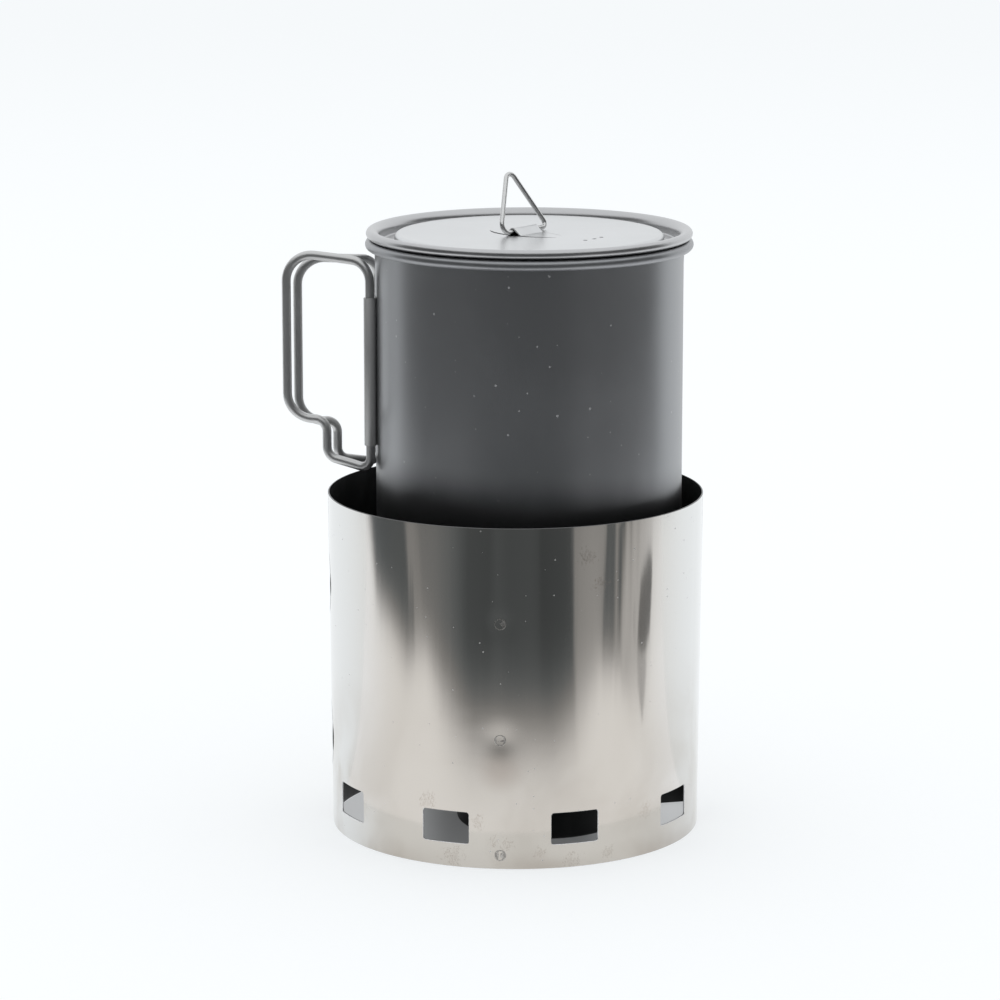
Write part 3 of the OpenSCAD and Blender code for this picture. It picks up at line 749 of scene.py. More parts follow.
def fill_sheet(loops: Sequence[Sequence[tuple]], inside: Iterable[tuple],
               keep: Callable[[np.ndarray], np.ndarray]) -> tuple[np.ndarray, np.ndarray]:
    """Triangulates a flat sheet with holes.

    Args:
        loops: Closed borders, each a list of points.
        inside: Further points.
        keep: Says for an array of places which of them lie in the sheet.

    Returns:
        Points, with those of the loops first and in order, and triangles.
    """
    borders = [Vector(p) for loop in loops for p in loop]
    edges = []
    start = 0
    for loop in loops:
        edges += [(start + k, start + (k + 1) % len(loop)) for k in range(len(loop))]
        start += len(loop)
    every = borders + [Vector(p) for p in inside]
    points, _, triangles, sources, _, _ = delaunay_2d_cdt(every, edges, [], 0, 1e-7)
    order = {}
    for number, source in enumerate(sources):
        for original in source:
            order[original] = number
    flat = np.array([tuple(p) for p in points])
    triangles = np.array(triangles)
    centres = flat[triangles].mean(axis=1)
    triangles = triangles[keep(centres)]
    first = [order[k] for k in range(len(borders))]
    rest = sorted(set(range(len(flat))) - set(first))
    rank = np.empty(len(flat), int)
    rank[np.array(first + rest)] = np.arange(len(flat))
    triangles = rank[triangles]
    flat = flat[np.array(first + rest)]
    origin, first_ends, last_ends = (flat[triangles[:, k]] for k in range(3))
    u, v = first_ends - origin, last_ends - origin
    turned = u[:, 0] * v[:, 1] - u[:, 1] * v[:, 0] < 0
    triangles[turned] = triangles[turned][:, ::-1]
    return flat, triangles


def rounded_box(centre: Sequence[float], half: Sequence[float], radius: float, steps: int = 5,
                spacing: float = 1.2) -> list[tuple]:
    """Closed outline of a box with round corners, anticlockwise.

    Args:
        centre: Its centre.
        half: Its half sizes.
        radius: Radius of its corners.
        steps: Stretches in a corner.
        spacing: Longest stretch of a side.

    Returns:
        The outline's points.
    """
    corners = [(1, 1, 0), (-1, 1, 90), (-1, -1, 180), (1, -1, 270)]
    outline: list[tuple] = []
    for x, y, start in corners:
        middle = (centre[0] + x * (half[0] - radius), centre[1] + y * (half[1] - radius))
        bend = arc(middle, radius, start, 90.0, steps)
        if outline:
            outline += pace(outline[-1], bend[0], spacing)
        outline += bend
    return outline + pace(outline[-1], outline[0], spacing)


def apply_tree(piece: bpy.types.Object, tree: bpy.types.NodeTree, values: dict[str, object]) -> None:
    """Runs a geometry tree on a piece and keeps the plain mesh.

    Args:
        piece: Object that the tree works on.
        tree: The geometry tree.
        values: Inputs by name.
    """
    names = {item.name: item.identifier for item in tree.interface.items_tree if item.in_out == "INPUT"}
    modifier = piece.modifiers.new(tree.name, "NODES")
    modifier.node_group = tree
    for key, value in values.items():
        modifier[names[key]] = value
    piece.update_tag()
    graph = bpy.context.evaluated_depsgraph_get()
    graph.update()
    mesh = bpy.data.meshes.new_from_object(piece.evaluated_get(graph), depsgraph=graph)
    piece.modifiers.clear()
    old = piece.data
    piece.data = mesh
    mesh.name = piece.name
    bpy.data.meshes.remove(old)


def geometry_tree(name: str, inputs: Sequence[tuple[str, str]]) -> tuple[Graph, bpy.types.Node]:
    """Starts a geometry tree with named inputs.

    Args:
        name: Name of the tree.
        inputs: Name and socket type of each input past the geometry.

    Returns:
        Its graph and its group input node.
    """
    tree = bpy.data.node_groups.new(name, "GeometryNodeTree")
    tree.interface.new_socket(name="Geometry", in_out="INPUT", socket_type="NodeSocketGeometry")
    for label, kind in inputs:
        tree.interface.new_socket(name=label, in_out="INPUT", socket_type=kind)
    tree.interface.new_socket(name="Geometry", in_out="OUTPUT", socket_type="NodeSocketGeometry")
    graph = Graph(tree)
    return graph, graph.add("NodeGroupInput")


def end_tree(graph: Graph, geometry: bpy.types.NodeSocket, material: bpy.types.NodeSocket) -> None:
    """Ends a tree in Realize Instances and Set Material.

    Args:
        graph: The tree's graph.
        geometry: What the tree made.
        material: Socket of the material.
    """
    real = graph.add("GeometryNodeRealizeInstances", None, Geometry=geometry)
    painted = graph.add("GeometryNodeSetMaterial", None, Geometry=real.outputs[0], Material=material)
    graph.add("NodeGroupOutput", None, Geometry=painted.outputs[0])


def facing_turn(graph: Graph) -> bpy.types.NodeSocket:
    """Rotation that turns +Z to the direction that is kept at each point."""
    facing = graph.add("GeometryNodeInputNamedAttribute", {"data_type": "FLOAT_VECTOR"}, Name="facing")
    return graph.add("FunctionNodeAlignRotationToVector", {"axis": "Z"}, Vector=facing.outputs[0]).outputs[0]


def wire_tree() -> bpy.types.NodeTree:
    """Tree that sweeps a round wire along a chain of edges.

    Returns:
        The tree, with the inputs Radius, Sides and Material.
    """
    graph, start = geometry_tree("wire sweep", [("Radius", "NodeSocketFloat"), ("Sides", "NodeSocketInt"),
                                                ("Material", "NodeSocketMaterial")])
    path = graph.add("GeometryNodeMeshToCurve", None, Mesh=start.outputs["Geometry"])
    ring = graph.add("GeometryNodeCurvePrimitiveCircle", None, Resolution=start.outputs["Sides"],
                     Radius=start.outputs["Radius"])
    skin = graph.add("GeometryNodeCurveToMesh", None, Curve=path.outputs[0], Profile_Curve=ring.outputs[0],
                     Fill_Caps=True)
    smooth = graph.add("GeometryNodeSetShadeSmooth", None, Geometry=skin.outputs[0])
    end_tree(graph, smooth.outputs[0], start.outputs["Material"])
    return graph.tree


def scatter_tree() -> bpy.types.NodeTree:
    """Tree that sets a copy of one shape on each point, turned to the point's normal.

    Returns:
        The tree, with the inputs Shape and Material.
    """
    graph, start = geometry_tree("weld spots", [("Shape", "NodeSocketObject"),
                                                ("Material", "NodeSocketMaterial")])
    shape = graph.add("GeometryNodeObjectInfo", None, Object=start.outputs["Shape"])
    copies = graph.add("GeometryNodeInstanceOnPoints", None, Points=start.outputs["Geometry"],
                       Instance=shape.outputs["Geometry"], Rotation=facing_turn(graph))
    end_tree(graph, copies.outputs[0], start.outputs["Material"])
    return graph.tree


def pierce_tree() -> bpy.types.NodeTree:
    """Tree that bores a round hole at each point of an object, along the point's normal.

    Returns:
        The tree, with the inputs Places, Radius, Length, Sides and Material.
    """
    graph, start = geometry_tree("bored holes", [
        ("Places", "NodeSocketObject"), ("Radius", "NodeSocketFloat"), ("Length", "NodeSocketFloat"),
        ("Sides", "NodeSocketInt"), ("Material", "NodeSocketMaterial")])
    places = graph.add("GeometryNodeObjectInfo", None, Object=start.outputs["Places"])
    drill = graph.add("GeometryNodeMeshCylinder", None, Vertices=start.outputs["Sides"],
                      Radius=start.outputs["Radius"], Depth=start.outputs["Length"])
    drills = graph.add("GeometryNodeInstanceOnPoints", None, Points=places.outputs["Geometry"],
                       Instance=drill.outputs[0], Rotation=facing_turn(graph))
    solid = graph.add("GeometryNodeRealizeInstances", None, Geometry=drills.outputs[0])
    bored = graph.add("GeometryNodeMeshBoolean", {"operation": "DIFFERENCE", "solver": "EXACT"})
    graph.feed(bored, "Mesh 1", start.outputs["Geometry"])
    graph.feed(bored, "Mesh 2", solid.outputs[0])
    end_tree(graph, bored.outputs[0], start.outputs["Material"])
    return graph.tree


def marked_points(name: str, spots: Sequence[tuple[Sequence[float], Sequence[float]]]) -> bpy.types.Object:
    """Mesh of loose points that carry a facing direction.

    Args:
        name: Name of the object.
        spots: Place in millimetres and direction of each point.

    Returns:
        The object, linked to the scene.
    """
    made = link_mesh(name, [place for place, _ in spots])
    facing = made.data.attributes.new("facing", "FLOAT_VECTOR", "POINT")
    facing.data.foreach_set("vector", [c for _, way in spots for c in way])
    return made


def sweep_wire(name: str, path: np.ndarray, radius: float, sides: int, finish: Finish) -> bpy.types.Object:
    """Sweeps a round wire along a path.

    Args:
        name: Name of the piece.
        path: Points in millimetres.
        radius: Radius of the wire.
        sides: Sides of its section.
        finish: Finish of the wire.

    Returns:
        The piece.
    """
    wire = link_mesh(name, path, [(k, k + 1) for k in range(len(path) - 1)])
    tree = bpy.data.node_groups.get("wire sweep") or wire_tree()
    apply_tree(wire, tree, {"Radius": radius * MM, "Sides": sides, "Material": finish.material()})
    return wire


def round_corners(corners: Sequence[tuple], steps: int) -> np.ndarray:
    """Rounds the corners of an open line.

    Args:
        corners: Points with the bend radius as the last number of each.
        steps: Stretches in a bend.

    Returns:
        Points of the line.
    """
    line = [np.array(corners[0][:-1], float)]
    for before, here, after in zip(corners, corners[1:], corners[2:]):
        a, b, c = (np.array(p[:-1], float) for p in (before, here, after))
        u, v = (a - b) / np.linalg.norm(a - b), (c - b) / np.linalg.norm(c - b)
        half = math.acos(float(np.clip(u @ v, -1, 1))) / 2
        radius = here[-1]
        middle = b + (u + v) / np.linalg.norm(u + v) * radius / math.sin(half)
        first = b + u * radius / math.tan(half) - middle
        last = b + v * radius / math.tan(half) - middle
        sweep = math.pi - 2 * half
        for k in range(steps + 1):
            w = sweep * k / steps
            line.append(middle + (first * math.sin(sweep - w) + last * math.sin(w)) / math.sin(sweep))
    line.append(np.array(corners[-1][:-1], float))
    return np.array(line)


def sideways(line: np.ndarray) -> np.ndarray:
    """Unit vectors to the left of a line in its plane."""
    ways = np.gradient(line, axis=0)
    return np.stack([-ways[:, 1], ways[:, 0]], axis=1) / np.linalg.norm(ways, axis=1)[:, None]


def loft(rows: Sequence[np.ndarray]) -> tuple[np.ndarray, list[tuple]]:
    """Skins a bundle of lines that run side by side, and caps its ends.

    Args:
        rows: The lines in order round the section, all with as many points.

    Returns:
        Vertices and faces.
    """
    points = np.stack(rows, axis=1).reshape(-1, 3)
    ring, count = len(rows), len(rows[0])
    faces = []
    for k in range(ring * (count - 1)):
        after = k - k % ring + (k + 1) % ring
        faces.append((k, after, after + ring, k + ring))
    return points, faces + [tuple(range(ring))[::-1], tuple(range(ring * (count - 1), ring * count))]


def ribbon(line: np.ndarray, thick: float, width: float, azimuth: float,
           origin: Sequence[float]) -> tuple[np.ndarray, list[tuple]]:
    """Gives a line in a vertical plane a thickness and a width.

    Args:
        line: Points as distance along and height.
        thick: Thickness of the strip.
        width: Width of the strip.
        azimuth: Direction of the width in plan.
        origin: Where the distance starts, in plan.

    Returns:
        Vertices and faces.
    """
    across = -outward(azimuth)
    along = np.cross(across, UP)
    side = sideways(line) * thick / 2
    rows = []
    for offset, edge in ((side, -0.5), (side, 0.5), (-side, 0.5), (-side, -0.5)):
        flat = line + offset
        row = np.array([*origin, 0.0]) + flat[:, :1] * along + edge * width * across
        rows.append(row + flat[:, 1:] * UP)
    return loft(rows)


# ------------------------------------------------------------------ stove


@dataclass
class OuterShell:
    """Rolled shell with its windows, side ports, lap seam and weld dents."""

    bottom_radius: float = 57.5
    top_radius: float = 58.35
    height: float = 105.6
    sheet: float = 0.4
    window_azimuths: tuple = (-141.6, -61.6, -21.6, 18.4, 58.4, 98.4, 138.4, 178.4)
    window_half: tuple = (7.45, 4.9)
    window_middle: float = 12.4
    window_corner: float = 0.8
    port_azimuth: float = -93.0
    port_radius: float = 12.5
    port_heights: tuple = (28.5, 77.5)
    lap_azimuth: float = 158.4
    lap_half: float = 4.9
    joggle: float = 3.0
    lap_step: float = 0.42
    fine_step: float = 1.3
    coarse_step: float = 3.2
    bevel: float = 0.13
    dents: tuple = (
        (-4.5, 4.3, 0.05, 3.4), (-4.5, 40.2, 0.17, 4.6), (-4.5, 76.3, 0.12, 3.8),
        (108.5, 4.3, 0.06, 3.4), (108.5, 40.2, 0.15, 4.4), (108.5, 76.3, 0.12, 3.8),
        (-128.5, 4.3, 0.06, 3.4), (-128.5, 40.2, 0.15, 4.4), (-128.5, 76.3, 0.12, 3.8),
    )
    creases: tuple = (
        (28.6, 0.7, 0.022, 52.0), (30.4, 0.45, -0.03, 52.0), (32.0, 0.4, 0.034, 48.0),
        (33.6, 0.5, -0.036, 54.0), (35.4, 0.5, 0.032, 60.0), (38.2, 0.8, 0.024, 66.0),
        (44.5, 1.2, -0.02, 62.0), (-5.6, 0.45, 0.006, 18.0), (-3.2, 0.45, 0.006, 18.0),
        (-12.4, 0.6, 0.008, 55.0), (9.0, 0.6, 0.008, 48.0), (-33.0, 0.8, 0.012, 62.0),
        (71.0, 1.2, 0.03, 40.0), (-120.0, 1.1, 0.02, 45.0), (126.0, 1.0, 0.02, 50.0),
    )
    crease_fade: float = 4.0
    crease_lean: float = 0.012
    wave_depth: float = 0.012
    wave_count: int = 5
    wave_start: float = 30.0
    wave_rise: float = 17.0

    def wall(self, height: np.ndarray) -> np.ndarray:
        """Outside radius at a height."""
        return self.bottom_radius + (self.top_radius - self.bottom_radius) * height / self.height

    def relief(self, azimuth: np.ndarray, height: np.ndarray) -> np.ndarray:
        """How far the sheet stands out from its plain cone.

        Args:
            azimuth: Azimuths in degrees.
            height: Heights.

        Returns:
            Outward distance in millimetres.
        """
        out = np.zeros_like(azimuth)
        for centre, level, depth, width in self.dents:
            across = np.radians(wrapped(azimuth - centre)) * self.bottom_radius
            out -= depth * np.exp(-(across ** 2 + (height - level) ** 2) / width ** 2)
        for centre, width, depth, foot in self.creases:
            fade = 1.0 / (1.0 + np.exp(-(height - foot) / self.crease_fade))
            lean = centre + self.crease_lean * (height - foot)
            out -= depth * np.exp(-(wrapped(azimuth - lean) / width) ** 2) * fade
        wave = np.sin(np.radians(self.wave_count * azimuth + self.wave_start))
        out += self.wave_depth * wave * np.sin(height / self.wave_rise)
        start = self.lap_azimuth - self.lap_half - 360.0
        under = start + 2 * self.lap_half
        step = np.clip((azimuth - under) / self.joggle, 0.0, 1.0)
        return out - self.lap_step * (1.0 - step * step * (3 - 2 * step))

    def place(self, flat: np.ndarray, depth: float) -> np.ndarray:
        """Wraps flat points round the shell.

        Args:
            flat: Rows of azimuth times the mean radius, and height.
            depth: Distance under the outer face.

        Returns:
            Points in space.
        """
        azimuth = np.degrees(flat[:, 0] / self.bottom_radius)
        radius = self.wall(flat[:, 1]) + self.relief(azimuth, flat[:, 1]) - depth
        turn = np.radians(azimuth)
        return np.stack([radius * np.sin(turn), -radius * np.cos(turn), flat[:, 1]], axis=1)

    def normals(self, flat: np.ndarray) -> np.ndarray:
        """Outward normals of the outer face at flat points."""
        step = 0.05
        side = self.place(flat + [step, 0.0], 0.0) - self.place(flat - [step, 0.0], 0.0)
        rise = self.place(flat + [0.0, step], 0.0) - self.place(flat - [0.0, step], 0.0)
        ways = np.cross(side, rise)
        return ways / np.linalg.norm(ways, axis=1)[:, None]

    def borders(self, margin: float) -> tuple[list[list[tuple]], Callable[[np.ndarray], np.ndarray]]:
        """Outlines of the flat sheet and of its holes.

        Args:
            margin: How far every edge is drawn back into the sheet.

        Returns:
            The closed outlines, outer one first, and a test for places in the sheet.
        """
        scale = math.radians(1.0) * self.bottom_radius
        left = (self.lap_azimuth - self.lap_half - 360.0) * scale
        right = (self.lap_azimuth + self.lap_half) * scale
        corners = [(left, 0.0), (right, 0.0), (right, self.height), (left, self.height)]
        outline: list[tuple] = []
        for here, after in zip(corners, corners[1:] + corners[:1]):
            outline += [here] + pace(here, after, self.fine_step)
        shrink = 1.0 - 2.0 * margin / self.height
        loops = [[(x, margin + z * shrink) for x, z in outline]]
        half, corner = np.array(self.window_half) + margin, self.window_corner + margin
        boxes = [(a * scale if a < self.lap_azimuth else (a - 360.0) * scale, self.window_middle)
                 for a in self.window_azimuths]
        circles = [(self.port_azimuth * scale, z) for z in self.port_heights]
        for centre in boxes:
            loops.append(rounded_box(centre, half, corner))
        for centre in circles:
            loops.append(arc(centre, self.port_radius + margin, 0.0, 360.0, 72)[:-1])

        def keep(places: np.ndarray) -> np.ndarray:
            """Says which of the places lie in the sheet."""
            inside = (places[:, 0] > left) & (places[:, 0] < right)
            inside &= (places[:, 1] > margin) & (places[:, 1] < self.height - margin)
            for centre in boxes:
                reach = np.abs(places - centre) - (half - corner)
                inside &= np.linalg.norm(np.maximum(reach, 0.0), axis=1) > corner * 0.98
            for centre in circles:
                inside &= np.linalg.norm(places - centre, axis=1) > (self.port_radius + margin) * 0.999
            return inside

        return loops, keep

    def skin(self, step: float, margin: float) -> tuple[np.ndarray, np.ndarray]:
        """Triangulates the flat sheet.

        Args:
            step: Spacing of the points.
            margin: How far its edges are drawn back.

        Returns:
            Flat points, border points first, and triangles.
        """
        loops, keep = self.borders(margin)
        outline = np.array(loops[0])
        low, high = outline.min(axis=0), outline.max(axis=0)
        xs = np.arange(low[0] + step * 0.7, high[0] - step * 0.4, step)
        zs = np.arange(low[1] + step * 0.7, high[1] - step * 0.4, step)
        grid = np.array([(x, z) for z in zs for x in xs])
        clear = keep(grid)
        border = np.array([p for loop in loops[1:] for p in loop])
        near = np.full(len(grid), np.inf)
        batch = 4000
        for start in range(0, len(grid), batch):
            part = grid[start:start + batch]
            near[start:start + batch] = np.linalg.norm(part[:, None, :] - border[None], axis=2).min(axis=1)
        return fill_sheet(loops, grid[clear & (near > step * 0.55)].tolist(), keep)

    def build(self) -> None:
        """Builds both skins and the bevelled cut edges, with exact normals on the outer face."""
        outer_flat, outer_faces = self.skin(self.fine_step, self.bevel)
        inner_flat, inner_faces = self.skin(self.coarse_step, 0.0)
        loops, _ = self.borders(0.0)
        edge_flat = np.array([p for loop in loops for p in loop])
        outer, inner = self.place(outer_flat, 0.0), self.place(inner_flat, self.sheet)
        edge = self.place(edge_flat, self.bevel)
        shift, last = len(outer), len(outer) + len(inner)
        faces = [tuple(f) for f in outer_faces]
        faces += [tuple(int(k) + shift for k in reversed(f)) for f in inner_faces]
        start = 0
        rims = []
        for number, loop in enumerate(loops):
            count = len(loop)
            for k in range(count):
                a, b = start + k, start + (k + 1) % count
                for first, second in ((0, last), (last, shift)):
                    quad = (a + first, a + second, b + second, b + first)
                    rims.append(quad if number == 0 else quad[::-1])
            start += count
        # The cut edges take the third slot, whose light grey is a painted highlight.
        slots = [0] * len(outer_faces) + [1] * len(inner_faces) + [2] * len(rims)
        points = np.vstack([outer, inner, edge])
        piece = new_object("shell_sheet", points, faces + rims, [POLISHED, SOOTED, CUT_EDGE_HIGHLIGHT], slots)
        self.set_normals(piece.data, outer_flat, 3 * len(outer_faces))
        settle(piece, Body.STOVE, Slot.SHELL, "outer_shell")

    def set_normals(self, mesh: bpy.types.Mesh, flat: np.ndarray, corners: int) -> None:
        """Gives the outer face its exact normals.

        Args:
            mesh: The shell's mesh, which starts with the outer face.
            flat: Flat points of the outer face.
            corners: Number of corners of its triangles.
        """
        owners = np.zeros(len(mesh.loops), int)
        mesh.loops.foreach_get("vertex_index", owners)
        normals = np.zeros(len(mesh.loops) * 3, np.float32)
        mesh.corner_normals.foreach_get("vector", normals)
        normals = normals.reshape(-1, 3)
        normals[:corners] = self.normals(flat)[owners[:corners]]
        mesh.normals_split_custom_set(normals.tolist())


@dataclass
class WeldSpots:
    """Round weld marks that are pressed into the sheets."""

    shell: OuterShell
    radius: float = 1.8
    steel_heights: tuple = (4.3, 40.3, 76.3)
    stand_azimuths: tuple = (-4.5, 108.5, -128.5)
    lap_heights: tuple = (9.0, 30.9, 52.8, 74.7, 96.6)
    saddle_reach: float = 14.75
    sharp: float = 60.0

    def shape(self, name: str, radius: float) -> bpy.types.Object:
        """Makes one mark: a low rim round a slightly hollow middle.

        Args:
            name: Name of the shape.
            radius: Radius of the mark.

        Returns:
            The shape, facing +Z.
        """
        profile = [(0.0, -0.08), (radius, -0.08), (radius, 0.0), (radius - 0.1, 0.03),
                   (radius - 0.22, 0.034), (radius - 0.4, 0.008), (radius - 0.65, 0.0),
                   (radius * 0.3, 0.0), (0.0, 0.0)]
        points, faces = spin(profile, (0.0, 0.0), 40)
        made = new_object(name, points, faces, [STEEL_WELD])
        tidy(made)
        return made

    def on_shell(self, azimuth: float, heights: Sequence[float]) -> list[tuple]:
        """Places and directions of a column of marks on the shell.

        Args:
            azimuth: Azimuth of the column.
            heights: Heights of its marks.

        Returns:
            Place and direction of each.
        """
        scale = math.radians(1.0) * self.shell.bottom_radius
        flat = np.array([(azimuth * scale, z) for z in heights])
        return list(zip(self.shell.place(flat, 0.0).tolist(), self.shell.normals(flat).tolist()))

    def scatter(self, name: str, spots: list[tuple], radius: float, finish: Finish, body: Body,
                node: str) -> None:
        """Sets marks on their places.

        Args:
            name: Name of the piece.
            spots: Place and direction of each mark.
            radius: Radius of a mark.
            finish: Finish of the marks.
            body: Body that they ride on.
            node: Solid that they replace.
        """
        piece = marked_points(name, spots)
        shape = self.shape(name + "_shape", radius)
        tree = bpy.data.node_groups.get("weld spots") or scatter_tree()
        apply_tree(piece, tree, {"Shape": shape, "Material": finish.material()})
        bpy.data.objects.remove(shape)
        smooth(piece.data, self.sharp)
        settle(piece, body, Slot.WELD, node)

    def build(self) -> None:
        """Builds the marks of the stands, the lap and the plates round the ports."""
        stands = [s for a in self.stand_azimuths for s in self.on_shell(a, self.steel_heights)]
        self.scatter("stand_weld_marks", stands, self.radius, STEEL_WELD, Body.STOVE, "stand_welds")
        lap = self.on_shell(self.shell.lap_azimuth, self.lap_heights)
        self.scatter("lap_weld_marks", lap, self.radius, STEEL_WELD, Body.STOVE, "shell_lap_welds")
        port, reach = self.shell.port_azimuth, self.saddle_reach
        behind = port - math.degrees(math.asin(reach / self.shell.bottom_radius))
        ring = [s for level in self.shell.port_heights
                for s in self.on_shell(port, [level - reach, level + reach]) + self.on_shell(behind, [level])]
        self.scatter("saddle_weld_marks", ring, self.radius, STEEL_WELD, Body.STOVE, "saddle_welds")


@dataclass
class FireBox:
    """Fire chamber, grate and the plain solids inside the shell."""

    shell: OuterShell
    chamber_radius: float = 26.4
    chamber_height: float = 62.0
    sheet: float = 0.4
    corner: float = 1.6
    centre: tuple = (7.989, -0.419)
    mouth_radius: float = 12.3
    jet_radius: float = 2.0
    jet_count: int = 16
    jet_level: float = 53.0
    jet_bore: float = 6.0
    mouth_bore: float = 24.0
    grate_radius: float = 25.6
    grate_top: float = 15.0
    grate_sheet: float = 0.6
    grate_rings: tuple = ((0.0, 1), (8.0, 6), (16.0, 12))
    grate_hole: float = 2.0
    grate_bore: float = 4.0
    leg_width: float = 6.0
    leg_inset: float = 3.0
    leg_bend: float = 1.2
    leg_foot: float = 0.7
    sleeve_start: float = 54.0
    sleeve_ends: tuple = (56.65, 57.0)
    sleeve_radii: tuple = (11.74, 12.27)
    lip: float = 0.15

    def wall_spot(self, azimuth: float, level: float) -> tuple[np.ndarray, np.ndarray]:
        """Place and direction of a hole in the chamber's wall."""
        way = outward(azimuth)
        return np.array([*self.centre, level]) + way * self.chamber_radius, way

    def pierce(self, piece: bpy.types.Object, spots: list[tuple], radius: float, length: float,
               sides: int) -> None:
        """Bores round holes through a piece.

        Args:
            piece: The solid piece.
            spots: Place and direction of each hole.
            radius: Radius of a hole.
            length: Length of the bore.
            sides: Sides of a hole.
        """
        places = marked_points(piece.name + "_holes", spots)
        tree = bpy.data.node_groups.get("bored holes") or pierce_tree()
        apply_tree(piece, tree, {"Places": places, "Radius": radius * MM, "Length": length * MM,
                                 "Sides": sides, "Material": SOOTED.material()})
        bpy.data.objects.remove(places)

    def sleeves(self) -> None:
        """Builds the square-cut mouths of the feed tube and of the vent."""
        inner, outer = self.sleeve_radii
        way = outward(self.shell.port_azimuth)
        aside = np.cross(UP, way)
        for number, (level, end) in enumerate(zip(self.shell.port_heights, self.sleeve_ends)):
            profile = [(outer, self.sleeve_start), (outer, end - self.lip), (outer - self.lip, end),
                       (inner + self.lip, end), (inner, end - self.lip), (inner, self.sleeve_start)]
            points, faces = spin(profile, (0.0, 0.0), 96)
            places = np.outer(points[:, 2], way) + np.outer(points[:, 0], aside)
            places += np.outer(points[:, 1] + level, UP)
            piece = new_object(f"port_sleeve_{number}", places, faces, [SOOTED])
            tidy(piece)
            settle(piece, Body.STOVE, Slot.SOOT)

    def chamber(self) -> None:
        """Builds the chamber with its mouth and its ring of air holes."""
        r, t, c, h = self.chamber_radius, self.sheet, self.corner, self.chamber_height
        outside = [(0.0, 0.0), (r * 0.5, 0.0)] + arc((r - c, c), c, -90.0, 90.0, 6)
        outside += divide((r, c), (r, h), 12) + arc((r - t / 2, h - t / 2), t / 2, 0.0, 180.0, 6)
        inside = divide((r - t, h), (r - t, c), 12) + arc((r - c, c), c - t, 0.0, -90.0, 6)
        inside += [(r * 0.5, t), (0.0, t)]
        points, faces = spin(outside + inside, self.centre, 144)
        piece = new_object("chamber_can", points, faces, [SOOTED])
        tidy(piece)
        port, level = self.shell.port_azimuth, self.shell.port_heights[0]
        jets = [self.wall_spot((k + 0.5) * 360.0 / self.jet_count + port, self.jet_level)
                for k in range(self.jet_count)]
        self.pierce(piece, jets, self.jet_radius, self.jet_bore, 24)
        self.pierce(piece, [self.wall_spot(port, level)], self.mouth_radius, self.mouth_bore, 64)
        smooth(piece.data)
        settle(piece, Body.STOVE, Slot.SOOT, "fire_chamber")

    def grate(self) -> None:
        """Builds the pierced disc and its three folded legs."""
        r, t, top = self.grate_radius, self.grate_sheet, self.grate_top
        edge = t / 2
        profile = [(0.0, top - t), (r * 0.5, top - t)] + arc((r - edge, top - edge), edge, -90.0, 180.0, 8)
        profile += [(r * 0.5, top), (0.0, top)]
        points, faces = spin(profile, self.centre, 96)
        disc = new_object("grate_disc", points, faces, [SOOTED])
        tidy(disc)
        spots = []
        for radius, count in self.grate_rings:
            for k in range(count):
                turn = math.radians(k * 360.0 / count + self.shell.port_azimuth)
                x = self.centre[0] + radius * math.cos(turn)
                spots.append(((x, self.centre[1] + radius * math.sin(turn), top - t / 2), (0.0, 0.0, 1.0)))
        self.pierce(disc, spots, self.grate_hole, self.grate_bore, 24)
        smooth(disc.data)
        settle(disc, Body.GRATE, Slot.SOOT, "grate")
        for k in range(3):
            settle(self.leg(k), Body.GRATE, Slot.SOOT)

    def leg(self, number: int) -> bpy.types.Object:
        """Makes one leg that is folded down from the disc.

        Args:
            number: Which of the legs.

        Returns:
            The leg.
        """
        t, inset = self.grate_sheet, self.leg_inset
        out, under = self.grate_radius - inset, self.grate_top - 1.5 * t
        line = round_corners([(out - inset, under, 0.0), (out + t / 2, under, self.leg_bend),
                              (out + t / 2, self.leg_foot, 0.0)], 6)
        azimuth = number * 120.0 + self.shell.port_azimuth
        points, faces = ribbon(line, t, self.leg_width, azimuth, self.centre)
        piece = new_object(f"grate_leg_{number}", points, faces, [SOOTED])
        tidy(piece)
        return piece

    def build(self) -> None:
        """Builds the chamber, the grate and the port mouths, and dresses the other solids."""
        self.sleeves()
        self.chamber()
        self.grate()
        for node in ("stand_front", "stand_right", "stand_rear", "feed_saddle", "vent_collar",
                     "feed_tube", "fuel_shelf"):
            dress(node, SOOTED)


# ------------------------------------------------------------------ pot


